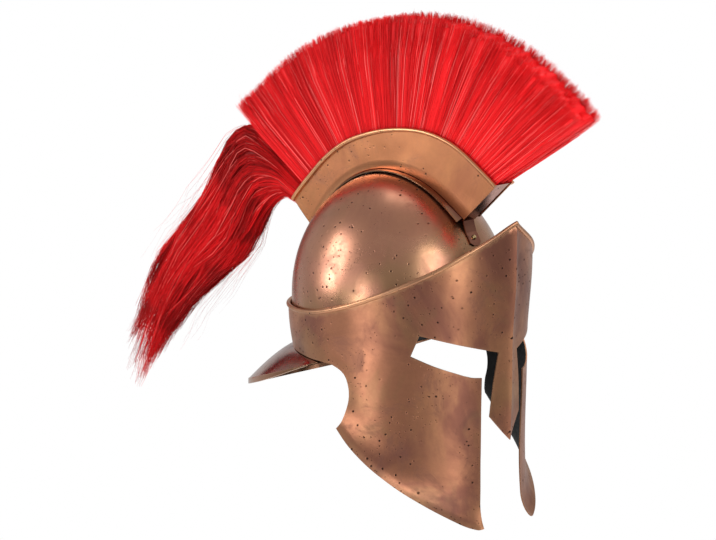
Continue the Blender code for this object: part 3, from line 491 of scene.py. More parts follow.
def make_nape(outer, inner):
    columns = 97
    span_turn = 360 - 2 * NAPE_START
    shares = [0.0, 0.03, 0.08] + [0.16 + 0.84 * k / 14 for k in range(15)]
    inset = SHEET + SEAT_GAP
    vertices, wear_and_highlight = [], []
    for i in range(columns):
        angle = NAPE_START + span_turn * i / (columns - 1)
        side = math.radians(90 + 180 * i / (columns - 1))
        low = band_edge_height(angle)
        edge = np.array([NAPE_EDGE_WIDTH / 2 * math.sin(side),
                         NAPE_EDGE_SHIFT - (NAPE_EDGE_REAR - NAPE_EDGE_SHIFT) * math.cos(side), 0.0])
        inner_point = guard_point(angle, low, inset)
        start = low - CLEARANCE - NAPE_DROP
        base = inner_point * (1, 1, 0)
        plan = edge - base
        outward = plan / np.linalg.norm(plan)
        end = start - NAPE_SLOPE * max(edge[1] - NAPE_EDGE_SHIFT, 0.0) * 0.94
        line = [guard_point(angle, low + NAPE_FLANGE * (1 - k / 2), inset) for k in range(2)]
        for share in shares:
            line.append(base + plan * share + UPWARD * (start + (end - start) * share**1.35))
        taper = 0.12 + 0.88 * smooth(min(i, columns - 1 - i) / 20)
        corner = line[-1]
        for turned in (15, 35, 55, 75, 90):
            lean = math.radians(turned)
            line.append(corner + NAPE_BEND * taper * (outward * math.sin(lean) - UPWARD * (1 - math.cos(lean))))
        line.append(line[-1] - UPWARD * (NAPE_RIM - NAPE_BEND) * taper)
        under = []
        for k, point in enumerate(line):
            along = line[min(k + 1, len(line) - 1)] - line[max(k - 1, 0)]
            normal = along[2] * outward - UPWARD * (along @ outward)
            under.append(point + normal / np.linalg.norm(normal) * SHEET)
        vertices += line + under[::-1]
        # Rim of the nape guard brighter: partly real wear, partly a painted highlight on the rim.
        worn_and_lit = [0.0] * (len(line) - 6) + [0.3, 0.7, 1.0, 1.0, 0.7, 0.9]
        wear_and_highlight += worn_and_lit + worn_and_lit[::-1]
    size = len(vertices) // columns
    faces = loop_faces(columns, size)
    slots = []
    for face in faces:
        places = [v % size for v in face]
        slots.append(1 if min(places) >= size // 2 + 1 and max(places) - min(places) == 1 else 0)
    return mesh_piece("nape_sheet", vertices, faces, [outer, inner], slots, {"wear_and_highlight": wear_and_highlight}, 40)


# Crest holder

def dome_profile(angle, x=0.0):
    turned = math.radians(angle)
    length = DOME_FRONT if angle > 0 else DOME_REAR
    shrink = math.sqrt(1 - (x / (DOME_WIDTH / 2)) ** 2)
    return shrink / math.hypot(math.sin(turned) / length, math.cos(turned) / DOME_HEIGHT)


def crest_point(angle, radius, x):
    turned = math.radians(angle)
    return (x, -radius * math.sin(turned), DOME_CENTRE + radius * math.cos(turned))


def saddle_top(angle):
    return dome_profile(angle) + CLEARANCE + SADDLE_RISE * curve_value(SADDLE, "rise", angle)


def plate_top(angle):
    return saddle_top(angle) + CLEARANCE + CREST_HEIGHT * curve_value(CREST_PLATE, "share", angle)


def holder_radius(angle, share):
    """Radius in the crest holder: share 0 on the saddle, 1 at the top of the plates."""
    low = saddle_top(angle) + CLEARANCE
    return low + (plate_top(angle) - low) * share


def slanted(angle, radius, x):
    low, high = saddle_top(angle) + CLEARANCE, plate_top(angle)
    share = (radius - low) / (high - low)
    turned = angle + (share - 0.5) * CREST_END_SLANT * smooth(1 - (angle - CREST_REAR_ANGLE) / 25)
    return crest_point(turned, holder_radius(turned, share), x)


def make_saddle(outer):
    vertices, wear_and_highlight = [], []
    stations = 90
    for angle in np.linspace(CREST_REAR_ANGLE - CREST_END_SLANT / 2, SADDLE_FRONT_ANGLE, stations):
        half = SADDLE_WIDTH / 2 * curve_value(SADDLE, "width", angle)
        top = saddle_top(angle)
        places = [half, half * 0.97, half * 0.8, half * 0.6, PLATE_OUTER * 0.6, 0.0]
        places += [-x for x in places[:-1]][::-1]
        upper, under = [], []
        for x in places:
            foot = dome_profile(angle, x) + CLEARANCE
            share = smooth((abs(x) - PLATE_OUTER * 0.9) / (half - PLATE_OUTER * 0.9))
            edge = foot + SADDLE_LIP + SADDLE_LIP_RISE * (top - foot)
            upper.append(crest_point(angle, top + (edge - top) * share, x))
            under.append(crest_point(angle, foot + (edge - SADDLE_LIP - foot) * share, x))
        vertices += upper + under[::-1]
        # Outer edges of the saddle brighter: partly real wear, partly a painted highlight on its lip.
        worn_and_lit = [1.0, 0.8] + [0.0] * (len(places) - 4) + [0.8, 1.0]
        wear_and_highlight += worn_and_lit + worn_and_lit
    faces = loop_faces(stations, 2 * len(places))
    return mesh_piece("saddle_strip", vertices, faces, [outer], None, {"wear_and_highlight": wear_and_highlight}, 45)


def make_plate(name, side, outer):
    centre = PLATE_INNER + BEAD_RADIUS
    first = -math.acos((PLATE_OUTER - centre) / BEAD_RADIUS)
    vertices, wear_and_highlight = [], []
    stations, arc = 120, 13
    for angle in np.linspace(CREST_REAR_ANGLE, CREST_FRONT_ANGLE, stations):
        low = saddle_top(angle) + CLEARANCE
        rolled = plate_top(angle) - BEAD_RADIUS
        start = rolled + BEAD_RADIUS * math.sin(first)
        outline = [(PLATE_INNER, low), (PLATE_OUTER - 0.0003, low), (PLATE_OUTER, low + 0.0004)]
        outline += [(PLATE_OUTER, low + (start - low) * s) for s in (0.25, 0.5, 0.75, 1.0)]
        for i in range(1, arc + 1):
            turned = first + (math.pi - first) * i / arc
            outline.append((centre + BEAD_RADIUS * math.cos(turned), rolled + BEAD_RADIUS * math.sin(turned)))
        outline += [(PLATE_INNER, low + (rolled - low) * s) for s in (0.75, 0.5, 0.25)]
        vertices += [slanted(angle, radius, side * x) for x, radius in outline]
        # Foot and rolled bead of the plate brighter: partly real wear, partly a painted highlight on the bead.
        wear_and_highlight += [0.6, 0.9, 0.5] + [0.0] * 4 + [1.0] * arc + [0.0] * 3
    faces = loop_faces(stations, len(outline), False)
    return mesh_piece(name, vertices, faces, [outer], None, {"wear_and_highlight": wear_and_highlight}, 40)


# Horsehair

def hair_core(name, vertices, faces, finish, along):
    # Core bodies take the darkest hair tone so that the gaps between strands look dark: painted shade.
    dark_core_shade = [0.1] * len(vertices)
    return mesh_piece(name, vertices, faces, [finish], None, {"along": along, "tint": dark_core_shade, "lane": dark_core_shade})


def mane_root(share):
    return MANE_REAR_ANGLE + (MANE_FRONT_ANGLE - MANE_REAR_ANGLE) * share


def mane_tip(share):
    root = plate_top(mane_root(share))
    reach = MANE_LENGTH * curve_value(MANE, "length", share, "root")
    return np.array(crest_point(curve_value(MANE, "tip_angle", share, "root"), root + reach, 0.0))


def mane_half(row):
    half_root = PLATE_INNER - CLEARANCE
    return half_root + (MANE_TIP_WIDTH / 2 - half_root) * math.sin(row * math.pi / 2)


def make_mane_core(finish):
    columns = 241
    rows = (0.0, 0.12, 0.26, 0.42, 0.58, 0.74, 0.87, 0.945, 0.97)
    vertices, along = [], []
    for i in range(columns):
        share = i / (columns - 1)
        angle = mane_root(share)
        floor = np.array(crest_point(angle, saddle_top(angle) + CLEARANCE, 0.0))
        root = np.array(crest_point(angle, plate_top(angle), 0.0))
        tip = mane_tip(share)
        lock = 0.5 + 0.5 * math.sin(share * 2 * math.pi * 30) * math.sin(share * 97 + 1.3)
        line = [(floor, PLATE_INNER - CLEARANCE, 0.0)]
        for row in rows:
            half = mane_half(row) - MANE_CORE_INSET - MANE_GROOVE * lock * min(row / 0.4, 1.0)
            if row > 0.95:
                half *= 0.55
            line.append((root + (tip - root) * (row - 0.03 * lock * row), half, row))
        line += [(p, -w, r) for p, w, r in reversed(line)]
        vertices += [p + np.array([w, 0, 0]) for p, w, r in line]
        along += [r for p, w, r in line]
    faces = loop_faces(columns, 2 * (len(rows) + 1))
    return hair_core("mane_core", vertices, faces, finish, along)


def tail_point(back_share, down_share, side=0.0):
    angle = (MANE_REAR_ANGLE + CREST_REAR_ANGLE) / 2
    root = crest_point(angle, plate_top(angle) - TAIL_ROOT_DROP, 0.0)
    return np.array([side, root[1] + TAIL_LENGTH * back_share, root[2] - TAIL_LENGTH * down_share])


TAIL_STATIONS = (("at", *TAIL[0]), *((i, *row) for i, row in enumerate(TAIL[1:])))


def tail_spot(at, place, side):
    """Point in the tail: place runs across it from -1 to 1, side through its thickness."""
    if at < 0:
        upper, lower = (np.array(crest_point(angle, holder_radius(angle, 1 + at / TAIL_HELD), 0.0))
                        for angle in (MANE_REAR_ANGLE - 1.0, CREST_REAR_ANGLE + 0.6))
        half = PLATE_INNER - CLEARANCE
    else:
        upper_back, upper_down, lower_back, lower_down, thick = (
            curve_value(TAIL_STATIONS, label, at, "at") for label in TAIL[0])
        upper, lower = tail_point(upper_back, upper_down), tail_point(lower_back, lower_down)
        half = TAIL_THICKNESS / 2 * thick
    return (upper + lower) / 2 + (upper - lower) / 2 * place + np.array([half * side, 0.0, 0.0])


def make_tail_core(finish):
    sides, vertices, along = 32, [], []
    places = [-TAIL_HELD, -0.9, 0.0] + [0.35 * i for i in range(1, 28)]
    for i, at in enumerate(places):
        taper = 0.93 - 0.62 * smooth((at - 6.0) / 3.2)
        for k in range(sides):
            turned = 2 * math.pi * k / sides
            groove = 1 - 0.12 * smooth(at / 3) * (0.5 + 0.5 * math.sin(turned * 7 + at * 0.4))
            size = taper * groove
            shift = -0.12 * smooth((at - 6.4) / 1.6)
            vertices.append(tail_spot(at, math.cos(turned) * size + shift, math.sin(turned) * size * 0.92))
            along.append(i / (len(places) - 1))
    faces = loop_faces(len(places), sides, False)
    return hair_core("tail_core", vertices, faces, finish, along)


class Wiring:
    """Short calls that build a node tree."""

    def __init__(self, tree):
        self.tree = tree

    def put(self, socket, value):
        if hasattr(value, "outputs"):
            value = value.outputs[0]
        if hasattr(value, "links"):
            self.tree.links.new(value, socket)
        else:
            socket.default_value = value

    def fill(self, node, inputs):
        """Numbers or links for a node's inputs, by name or place."""
        for place, value in inputs.items():
            self.put(node.inputs[place], value)
        return node

    def add(self, kind, inputs=None, **settings):
        node = self.tree.nodes.new(kind)
        for label, value in settings.items():
            setattr(node, label, value)
        return self.fill(node, inputs or {})

    def math(self, operation, first, second=0.0):
        return self.add("ShaderNodeMath", {0: first, 1: second}, operation=operation).outputs[0]

    def times(self, first, second):
        return self.math("MULTIPLY", first, second)

    def vector(self, operation, first, second):
        return self.add("ShaderNodeVectorMath", {0: first, 1: second}, operation=operation).outputs

    def coords(self, scale=(1, 1, 1)):
        place = self.add("ShaderNodeTexCoord").outputs["Object"]
        return self.add("ShaderNodeMapping", {"Vector": place, "Scale": scale}).outputs[0]

    def noise(self, scale, detail=3.0, rough=0.55, vector=None, distortion=0.0):
        return self.add("ShaderNodeTexNoise", {
            "Vector": self.coords() if vector is None else vector, "Scale": scale, "Detail": detail,
            "Roughness": rough, "Distortion": distortion}).outputs["Fac"]

    def ramp(self, value, low, high, start=0.0, end=1.0):
        return self.add("ShaderNodeMapRange", {
            "Value": value, "From Min": low, "From Max": high, "To Min": start, "To Max": end},
            interpolation_type="SMOOTHSTEP").outputs[0]

    def mix(self, share, first, second):
        first, second = (c if hasattr(c, "links") else (*c, 1.0) for c in (first, second))
        return self.add("ShaderNodeMix", {"Factor": share, 6: first, 7: second}, data_type="RGBA").outputs[2]

    def attribute(self, name):
        return self.add("ShaderNodeAttribute", attribute_name=name).outputs["Fac"]

    def bump(self, height, distance, strength=1.0, normal=None):
        inputs = {"Distance": distance, "Strength": strength, "Height": height}
        if normal is not None:
            inputs["Normal"] = normal
        return self.add("ShaderNodeBump", inputs).outputs[0]

    def pits(self, scale, size, clusters):
        """Dark punched dots: 1 in a dot, 0 between them, only where clusters is high."""
        cells = self.add("ShaderNodeTexVoronoi", {"Vector": self.coords(), "Scale": scale, "Randomness": 1.0},
                         feature="F1")
        return self.times(self.ramp(cells.outputs["Distance"], size, size * 0.45), clusters)


def strand_tree():
    """Geometry Nodes: each guide becomes a tuft of thin tapered strands."""
    tree = bpy.data.node_groups.new("strands_on_guides", "GeometryNodeTree")
    sockets = {"Guides": "Geometry", "Copies": "Int", "Root spread": "Vector", "Tip spread": "Vector",
               "Thickness": "Float", "Waviness": "Float", "Wave size": "Float", "Shortest": "Float",
               "Seed": "Int", "Finish": "Material"}
    for label, kind in sockets.items():
        tree.interface.new_socket(name=label, in_out="INPUT", socket_type="NodeSocket" + kind)
    tree.interface.new_socket(name="Strands", in_out="OUTPUT", socket_type="NodeSocketGeometry")
    wiring = Wiring(tree)
    add, number, times, vector = wiring.add, wiring.math, wiring.times, wiring.vector
    given = add("NodeGroupInput").outputs
    copies = add("GeometryNodeDuplicateElements", {"Geometry": given["Guides"], "Amount": given["Copies"]},
                 domain="SPLINE")
    capture = add("GeometryNodeCaptureAttribute", domain="CURVE")
    capture.capture_items.new("INT", "strand")
    wiring.put(capture.inputs[0], copies)
    wiring.put(capture.inputs[1], add("GeometryNodeInputIndex"))
    strand = capture.outputs[1]
    tuft = number("FLOOR", number("DIVIDE", strand, given["Copies"]), 0.0)

    def chance(low, high, shift, owner=strand):
        """Random number or vector for each strand or tuft."""
        first, kind = (0, "FLOAT_VECTOR") if isinstance(low, tuple) else (2, "FLOAT")
        drawn = add("FunctionNodeRandomValue", {
            first: low, first + 1: high, "ID": owner, "Seed": number("ADD", given["Seed"], shift)},
            data_type=kind)
        return drawn.outputs[first // 2]

    reach = number("POWER", chance(0.0, 1.0, 3), 2.2)
    shortened = times(reach, number("SUBTRACT", 1.0, given["Shortest"]))
    trim = add("GeometryNodeTrimCurve", {"Curve": capture.outputs[0], 3: number("SUBTRACT", 1.0, shortened)},
               mode="FACTOR")
    factor = add("GeometryNodeSplineParameter").outputs["Factor"]
    spread = add("ShaderNodeMix", {"Factor": factor, 4: given["Root spread"], 5: given["Tip spread"]},
                 data_type="VECTOR").outputs[1]
    scatter = vector("MULTIPLY", chance((-1, -1, -1), (1, 1, 1), 0), spread)[0]
    place = vector("ADD", add("GeometryNodeInputPosition"),
                   vector("MULTIPLY", chance((-1, -1, -1), (1, 1, 1), 7), (0.02, 0.02, 0.02))[0])[0]
    wave = add("ShaderNodeTexNoise", {"Vector": place, "Scale": given["Wave size"], "Detail": 1.0},
               noise_dimensions="3D")
    bent = vector("SUBTRACT", wave.outputs["Color"], (0.5, 0.5, 0.5))[0]
    swing = add("ShaderNodeVectorMath", {0: bent, "Scale": times(factor, given["Waviness"])},
                operation="SCALE")
    moved = add("GeometryNodeSetPosition", {"Geometry": trim, "Offset": vector("ADD", scatter, swing)[0]})
    thin = number("SUBTRACT", 1.0, times(number("POWER", factor, 3.0), 0.72))
    radius = times(times(thin, given["Thickness"]), chance(0.6, 1.25, 5))
    curve = add("GeometryNodeSetCurveRadius", {"Curve": moved, "Radius": radius})
    for label, domain, value in (("lane", "CURVE", chance(0.0, 1.0, 21, tuft)),
                                 ("tint", "CURVE", chance(0.0, 1.0, 11)), ("along", "POINT", factor)):
        curve = add("GeometryNodeStoreNamedAttribute", {"Geometry": curve, "Name": label, "Value": value},
                    data_type="FLOAT", domain=domain)
    ring = add("GeometryNodeCurvePrimitiveCircle", {"Resolution": 3, "Radius": 1.0})
    sweep = add("GeometryNodeCurveToMesh", {
        "Curve": curve, "Profile Curve": ring, "Fill Caps": True, "Scale": add("GeometryNodeInputRadius")})
    whole = add("GeometryNodeRealizeInstances", {0: add("GeometryNodeSetShadeSmooth", {"Geometry": sweep})})
    add("NodeGroupOutput", {0: add("GeometryNodeSetMaterial", {"Geometry": whole, "Material": given["Finish"]})})
    return tree


def grow(name, lines, tree, **sizes):
    """Strands along guide lines, as a plain mesh piece."""
    data = bpy.data.curves.new(name + "_guides", "CURVE")
    data.dimensions = "3D"
    for line in lines:
        spline = data.splines.new("POLY")
        spline.points.add(len(line) - 1)
        spline.points.foreach_set("co", [float(c) for place in line for c in (*place, 1.0)])
    guides = placed(name + "_guides", data)
    grown = guides.modifiers.new("strands", "NODES")
    grown.node_group = tree
    keys = {item.name: item.identifier for item in tree.interface.items_tree if item.in_out == "INPUT"}
    for label, value in sizes.items():
        grown[keys[label.replace("_", " ")]] = value
    ready = guides.evaluated_get(bpy.context.evaluated_depsgraph_get())
    mesh = bpy.data.meshes.new_from_object(ready)
    mesh.name = name
    bpy.data.objects.remove(guides, do_unlink=True)
    return placed(name, mesh)


def mane_guides(seed, count, low, high):
    """Guide lines from the holder to the tips, between two shares of the mane's thickness."""
    rng = random.Random(seed)
    lines = []
    for i in range(count):
        share = (i + rng.random()) / count
        out = rng.uniform(low, high)
        angle = mane_root(share)
        root = np.array(crest_point(angle, plate_top(angle) - MANE_ROOT_DROP, 0.0))
        drift = share + rng.gauss(0, 0.003)
        tip = mane_tip(min(max(drift, 0.0), 1.0))
        tip = tip + (tip - root) * rng.uniform(-0.016, 0.006)
        closing = rng.uniform(0.74, 1.0)
        line = []
        for row in (0.0, 0.30, 0.66, 1.0):
            half = mane_half(max(row - 0.05, 0.0)) - 0.0004
            if row == 1.0:
                half *= closing
            line.append(root + (tip - root) * row + np.array([half * out, 0, 0]))
        lines.append(line)
    return lines


def tail_guides(count, seed, shell=0.75, loose=0.0):
    """Guide lines down the tail; loose ones swing out of it."""
    rng = random.Random(seed)
    lines = []
    for i in range(count):
        turned = rng.uniform(0, 2 * math.pi)
        reach = 0.98 if rng.random() < shell else math.sqrt(rng.random()) * 0.9
        place, side = math.cos(turned) * reach, math.sin(turned) * reach
        slip = rng.gauss(0, 0.16)
        phase = rng.uniform(0, 6.3)
        parted = i % 13 == 0
        if parted:
            place, side, slip = rng.uniform(0.93, 1.02), side * 0.3, 0.0
        end = rng.uniform(6.6, 9.6) if loose == 0.0 else rng.uniform(4.0, 9.5)
        tip_place = min(max(place * 0.85 + rng.gauss(0, 0.12), -1.0), 1.0)
        tip = tail_point(curve_value(TAIL_ENDS, "tip_back", tip_place, "place"),
                         curve_value(TAIL_ENDS, "tip_down", tip_place, "place"),
                         side * 0.004 + rng.gauss(0, 0.003))
        stations = [-1.2, -0.4, 0.3, 0.8, 1.2, 1.6, 2.0, 2.5, 3.1, 3.9]
        stations += [3.9 + (end - 3.9) * k / 3 for k in range(1, 4)]
        line = []
        for at in stations:
            weave = slip * math.sin(at * 0.7 + phase) * smooth(at / 3)
            most = 1.0 if parted else 1.0 - TAIL_PARTING * smooth((at - 6.6) / 1.5)
            line.append(tail_spot(at, -1 + (min(max(place + weave, -1.0), 1.0) + 1) * (1 + most) / 2, side))
        reach = rng.uniform(0.55, 1.0) if loose == 0.0 else 0.45
        start, ahead = line[-1], line[-1] - line[-2]
        aim = start + (tip - start) * reach
        bend = start + ahead / np.linalg.norm(ahead) * np.linalg.norm(aim - start) * 0.4
        for k in (1 / 3, 2 / 3, 1.0):
            line.append(start * (1 - k) ** 2 + bend * 2 * k * (1 - k) + aim * k * k)
        if loose:
            swing = np.array([rng.gauss(0, loose * 0.4), rng.gauss(0, loose), rng.gauss(0, loose)])
            line = [p + swing * (k / (len(line) - 1)) ** 2.2 for k, p in enumerate(line)]
        lines.append(line)
    return lines


# Finishes

STAIN_BROWN, OLIVE, FOOT_GREEN = (0.185, 0.085, 0.065), (0.30, 0.21, 0.09), (0.38, 0.30, 0.11)
# Bright copper for edges, beads and lips: real wear and a painted highlight.
WORN_AND_LIT_COPPER, PIT_BLACK = (0.62, 0.36, 0.19), (0.030, 0.013, 0.011)


def new_finish(name):
    """Material with the wiring of its nodes and its shader."""
    finish = bpy.data.materials.new(name)
    finish.use_nodes = True
    return finish, Wiring(finish.node_tree), finish.node_tree.nodes["Principled BSDF"]


def copper_finish(name, base, deep, warm, rough=0.27, pit_amount=1.0, patina=0.0, mottle=1.0,
                  wave=0.5, grain=0.5):
    """Copper-finished steel: blotched, lightly brushed, bright on its edges from real wear and a painted
    highlight, pitted in places.
    """
    finish, paint, shader = new_finish(name)
    blotch = paint.ramp(paint.noise(11.0, 5.0, 0.65, distortion=0.8), 0.38, 0.62)
    cloud = paint.ramp(paint.noise(15.0, 4.0, 0.6, paint.coords((1.0, 1.0, 0.7)), 0.5), 0.44, 0.62)
    stain = paint.ramp(paint.noise(24.0, 6.0, 0.7, distortion=1.0), 0.50, 0.68)
    olive = paint.ramp(paint.noise(18.0, 3.0, 0.55, distortion=0.6), 0.56, 0.68)
    fine = paint.noise(240.0, 4.0, 0.6)
    colour = paint.mix(paint.times(blotch, mottle), base, deep)
    for layer, share, shade in ((cloud, 0.6, warm), (stain, 0.55, STAIN_BROWN), (olive, 0.22, OLIVE)):
        colour = paint.mix(paint.times(layer, share * mottle), colour, shade)
    colour = paint.mix(paint.ramp(fine, 0.35, 0.65, 0.0, 0.16), colour, deep)
    if patina:
        foot = paint.times(paint.attribute("foot"), paint.ramp(paint.noise(30.0), 0.3, 0.6))
        colour = paint.mix(paint.times(foot, patina), colour, FOOT_GREEN)
    # Edges, beads and lips mixed towards bright copper: partly real wear, partly a painted highlight where light
    # catches them.
    colour = paint.mix(paint.times(paint.attribute("wear_and_highlight"), 0.4), colour, WORN_AND_LIT_COPPER)
    large = paint.pits(120.0, 0.17, paint.ramp(paint.noise(16.0, 2.0, 0.5), 0.42, 0.50))
    small = paint.pits(260.0, 0.20, paint.ramp(paint.noise(22.0, 2.0), 0.47, 0.55))
    holes = paint.times(paint.math("MAXIMUM", large, paint.times(small, 0.75)), pit_amount)
    gloss = paint.times(blotch, 0.07)
    for layer, share in ((fine, 0.08), (stain, 0.10), (holes, 0.4)):
        gloss = paint.math("ADD", gloss, paint.times(layer, share))
    normal = paint.bump(paint.noise(15.0, 2.5, 0.45), 0.0030, wave)
    brushed = paint.noise(900.0, 2.0, 0.5, paint.coords((0.25, 0.25, 1.0)))
    normal = paint.bump(brushed, 0.00002, grain, normal)
    paint.fill(shader, {
        "Base Color": paint.mix(holes, colour, PIT_BLACK), "Metallic": 1.0,
        "Roughness": paint.math("ADD", gloss, rough - 0.07),
        "Normal": paint.bump(paint.math("SUBTRACT", 1.0, holes), 0.0004, 0.7, normal)})
    return finish


# Near-black inside faces with faint specks: painted shade for the dark inside the helmet.
def shade_black_finish():
    finish, paint, shader = new_finish("shade_black_inside")
    dust = paint.ramp(paint.noise(40.0, 4.0), 0.4, 0.8)
    paint.fill(shader, {
        "Base Color": paint.mix(dust, (0.004, 0.004, 0.004), (0.009, 0.008, 0.008)), "Specular IOR Level": 0.10,
        "Roughness": paint.ramp(paint.noise(300.0, 3.0), 0.3, 0.7, 0.55, 0.7),
        "Normal": paint.bump(paint.noise(700.0, 3.0), 0.0001, 0.6)})
    return finish


def brass_finish():
    finish, paint, shader = new_finish("rivet_brass")
    tarnish = paint.ramp(paint.noise(420.0, 3.0), 0.4, 0.7)
    paint.fill(shader, {
        "Base Color": paint.mix(tarnish, (0.78, 0.58, 0.28), (0.42, 0.28, 0.13)), "Metallic": 1.0,
        "Roughness": paint.ramp(tarnish, 0.0, 1.0, 0.2, 0.42)})
    return finish


def hair_finish(name, dark, bright, glint, share, fan=0.0):
    """Dyed horsehair: streaked reds, with broad patches of painted shade, roots darkened as painted shade and a
    few strands painted pale as a painted highlight (glint). Fan adds broad darker and lighter rays round the
    dome's centre as painted shade and light between clumps, and paints the front end of the mane lighter as
    painted light.
    """
    finish, paint, shader = new_finish(name)
    tint, along, lane = (paint.attribute(n) for n in ("tint", "along", "lane"))
    body = paint.math("ADD", paint.times(tint, 0.50), paint.times(lane, 0.25))
    if fan:
        place = paint.add("ShaderNodeSeparateXYZ", {0: paint.coords()}).outputs
        turned = paint.math("ARCTAN2", place[1], paint.math("ADD", place[2], -DOME_CENTRE))
        # Broad darker and lighter rays round the dome's centre: painted shade and light between clumps of hair.
        ray = paint.add("ShaderNodeTexNoise", {"W": turned, "Scale": 11.0, "Detail": 3.0}, noise_dimensions="1D")
        shade = paint.ramp(ray.outputs["Fac"], 0.36, 0.62, -fan * 0.5, fan * 0.4)
        # The front end of the mane painted lighter: painted light from the front.
        shade = paint.math("ADD", shade, paint.ramp(turned, -0.2, -0.8, 0.0, fan))
    else:
        # Broad darker and lighter patches: painted shade among the crossing strands.
        shade = paint.ramp(paint.noise(15.0, 2.0, 0.5), 0.40, 0.60, -0.22, 0.16)
    colour = paint.mix(paint.ramp(paint.math("ADD", body, shade), 0.0, 0.72), dark, bright)
    # A few strands painted pale: a painted highlight, glints on the hair.
    painted_glint = paint.ramp(tint, 1.0 - share, 1.0 - share * 0.5)
    colour = paint.mix(paint.times(painted_glint, 0.5), colour, glint)
    # Darker towards the roots, down between the plates: painted shade.
    colour = paint.mix(paint.ramp(along, 0.0, 0.16, 0.30, 0.0), colour, dark)
    paint.fill(shader, {"Base Color": colour, "Specular IOR Level": 0.10,
                        "Roughness": paint.ramp(tint, 0.0, 1.0, 0.42, 0.6)})
    return finish


guard_copper = copper_finish("guard_copper", (0.46, 0.198, 0.112), (0.270, 0.110, 0.075), (0.55, 0.262, 0.132),
                             0.38, wave=0.75)
dome_copper = copper_finish("dome_copper", (0.52, 0.248, 0.160), (0.39, 0.175, 0.115), (0.56, 0.275, 0.160),
                            0.28, 0.9, 0.25, 0.6, 0.4, 0.2)
crest_copper = copper_finish("crest_copper", (0.58, 0.235, 0.108), (0.40, 0.155, 0.080), (0.68, 0.30, 0.13),
                             0.33, 1.0, 0.0, 0.9)
nape_copper = copper_finish("nape_copper", (0.34, 0.135, 0.090), (0.21, 0.076, 0.054), (0.40, 0.18, 0.115),
                            0.17, 0.3, wave=0.2, grain=0.1)
# Inside faces near black: painted shade.
inside_shade_black = shade_black_finish()
rivet_brass = brass_finish()
# The third colour of each hair finish is the painted highlight (glint) on a few strands, the next number their
# share.
mane_hair = hair_finish("mane_hair", (0.50, 0.005, 0.007), (0.90, 0.018, 0.022), (0.95, 0.30, 0.28), 0.08, 0.35)
tail_hair = hair_finish("tail_hair", (0.23, 0.002, 0.002), (0.68, 0.007, 0.009), (0.88, 0.18, 0.16), 0.05)

# Metal pieces, each with the node that it replaces and its slot
for piece, node, slot in (
        (make_guard(guard_copper, inside_shade_black), "face_guard", "guard_copper"),
        (make_dome(dome_copper, inside_shade_black), "skull_dome", "dome_copper"),
        (make_nape(nape_copper, inside_shade_black), "nape_guard", "nape_copper"),
        (make_saddle(nape_copper), "crest_saddle", "nape_copper"),
        (make_plate("plate_left", 1, crest_copper), "crest_plate_left", "crest_copper"),
        (make_plate("plate_right", -1, crest_copper), "crest_plate_right", "crest_copper")):
    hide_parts(node)
    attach(piece, "root")
for node, finish in (("crest_front", nape_copper), ("tab_rivet", rivet_brass)):
    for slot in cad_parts[node].material_slots:
        slot.material = finish

# Hair pieces
strands = strand_tree()
hair_pieces = [make_mane_core(mane_hair)]
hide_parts("plume_mane")
for name, seed, low, high in (("mane_strands_right", 11, -1.0, -0.86), ("mane_strands_left", 23, 0.86, 1.0),
                              ("mane_strands_middle", 37, -0.88, 0.88)):
    hair_pieces.append(grow(
        name, mane_guides(seed, 460, low, high), strands, Copies=18, Root_spread=(0.0003, 0.0014, 0.0014),
        Tip_spread=(0.0014, 0.0019, 0.0019), Thickness=0.00025, Waviness=0.0030, Wave_size=28.0,
        Shortest=0.965, Seed=seed, Finish=mane_hair))
loose_lines = mane_guides(53, 30, -1.0, 1.0)
for k in range(22):
    loose_lines.append(mane_guides(61 + k, 40, -1.0, 1.0)[0 if k % 3 else -1])
hair_pieces.append(grow(
    "mane_loose_hairs", loose_lines, strands, Copies=6, Root_spread=(0.0003, 0.0014, 0.0014),
    Tip_spread=(0.003, 0.0075, 0.0075), Thickness=0.00017, Waviness=0.016, Wave_size=22.0,
    Shortest=0.80, Seed=71, Finish=mane_hair))
hair_pieces.append(make_tail_core(tail_hair))
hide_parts("plume_tail")
for name, seed, count, shell in (("tail_strands_outer", 4, 150, 1.0), ("tail_strands_inner", 8, 140, 0.4)):
    hair_pieces.append(grow(
        name, tail_guides(count, seed, shell), strands, Copies=12, Root_spread=(0.0006, 0.0016, 0.0016),
        Tip_spread=(0.0022, 0.0030, 0.0030), Thickness=0.00034, Waviness=0.0110, Wave_size=15.0,
        Shortest=0.62, Seed=seed, Finish=tail_hair))
hair_pieces.append(grow(
    "tail_wisps", tail_guides(60, 14, 1.0, 0.012), strands, Copies=5, Root_spread=(0.001, 0.002, 0.002),
    Tip_spread=(0.005, 0.008, 0.008), Thickness=0.00013, Waviness=0.024, Wave_size=18.0,
    Shortest=0.60, Seed=19, Finish=tail_hair))
for piece in hair_pieces:
    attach(piece, "root")

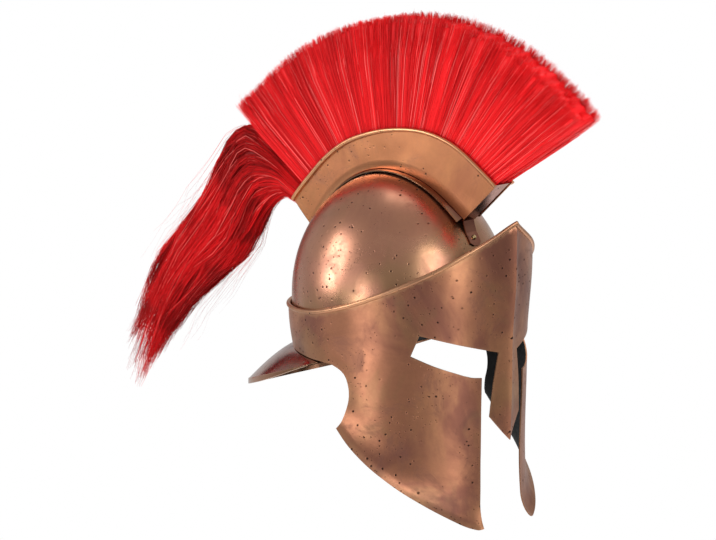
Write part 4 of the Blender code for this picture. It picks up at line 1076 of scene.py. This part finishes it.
# Floor and surroundings
FLOOR_HALF, FLOOR_HEIGHT = 1.5, -1.2
floor_mesh = bpy.data.meshes.new("floor")
floor_mesh.from_pydata([(x * FLOOR_HALF, y * FLOOR_HALF, FLOOR_HEIGHT) for x, y in
                        ((-1, -1), (1, -1), (1, 1), (-1, 1))], [], [(0, 1, 2, 3)])
floor_finish, paint, shader = new_finish("pale_floor")
paint.fill(shader, {"Base Color": (0.97, 0.97, 0.97, 1), "Roughness": 0.9})
floor_mesh.materials.append(floor_finish)
placed("floor", floor_mesh)

world = bpy.data.worlds.new("studio")
scene.world = world
world.use_nodes = True
sky = world.node_tree.nodes["Background"]
sky.inputs["Color"].default_value = (1, 1, 1, 1)
room = Wiring(world.node_tree)
seen = room.add("ShaderNodeLightPath").outputs
way = room.add("ShaderNodeTexCoord").outputs["Generated"]
facing = room.vector("DOT_PRODUCT", way, -back)["Value"]
rise = room.add("ShaderNodeSeparateXYZ", {0: way}).outputs[2]
lit = room.math("MAXIMUM", room.ramp(facing, -0.1, 0.9, 0.30, 0.62), room.ramp(rise, 0.05, 0.65, 0.30, 0.52))
lit = room.math("MAXIMUM", lit, room.times(seen["Is Diffuse Ray"], 0.98))
room.put(sky.inputs["Strength"], room.math("MAXIMUM", lit, seen["Is Camera Ray"]))

# Softboxes: turn, rise, distance, width, height and power
for name, turn, rise, distance, width, height, power in (
        ("rear_left_softbox", -135, 15, 2.0, 0.62, 1.0, 15), ("left_softbox", -102, -4, 2.0, 0.50, 1.0, 6),
        ("front_softbox", -27, 27, 2.0, 0.75, 1.1, 11.5), ("front_low_softbox", -29, -4, 2.0, 0.60, 1.0, 5.0),
        ("top_softbox", 120, 70, 1.8, 1.3, 1.3, 10)):
    lamp = bpy.data.lights.new(name, "AREA")
    lamp.shape, lamp.size, lamp.size_y, lamp.energy = "RECTANGLE", width, height, power
    aim = direction(turn, rise)
    placed(name, lamp).matrix_world = Matrix.Translation(LIGHT_CENTRE + aim * distance) @ (
        aim.to_track_quat("Z", "Y").to_matrix().to_4x4())

scene.view_settings.view_transform = "Standard"
scene.view_settings.look = "None"
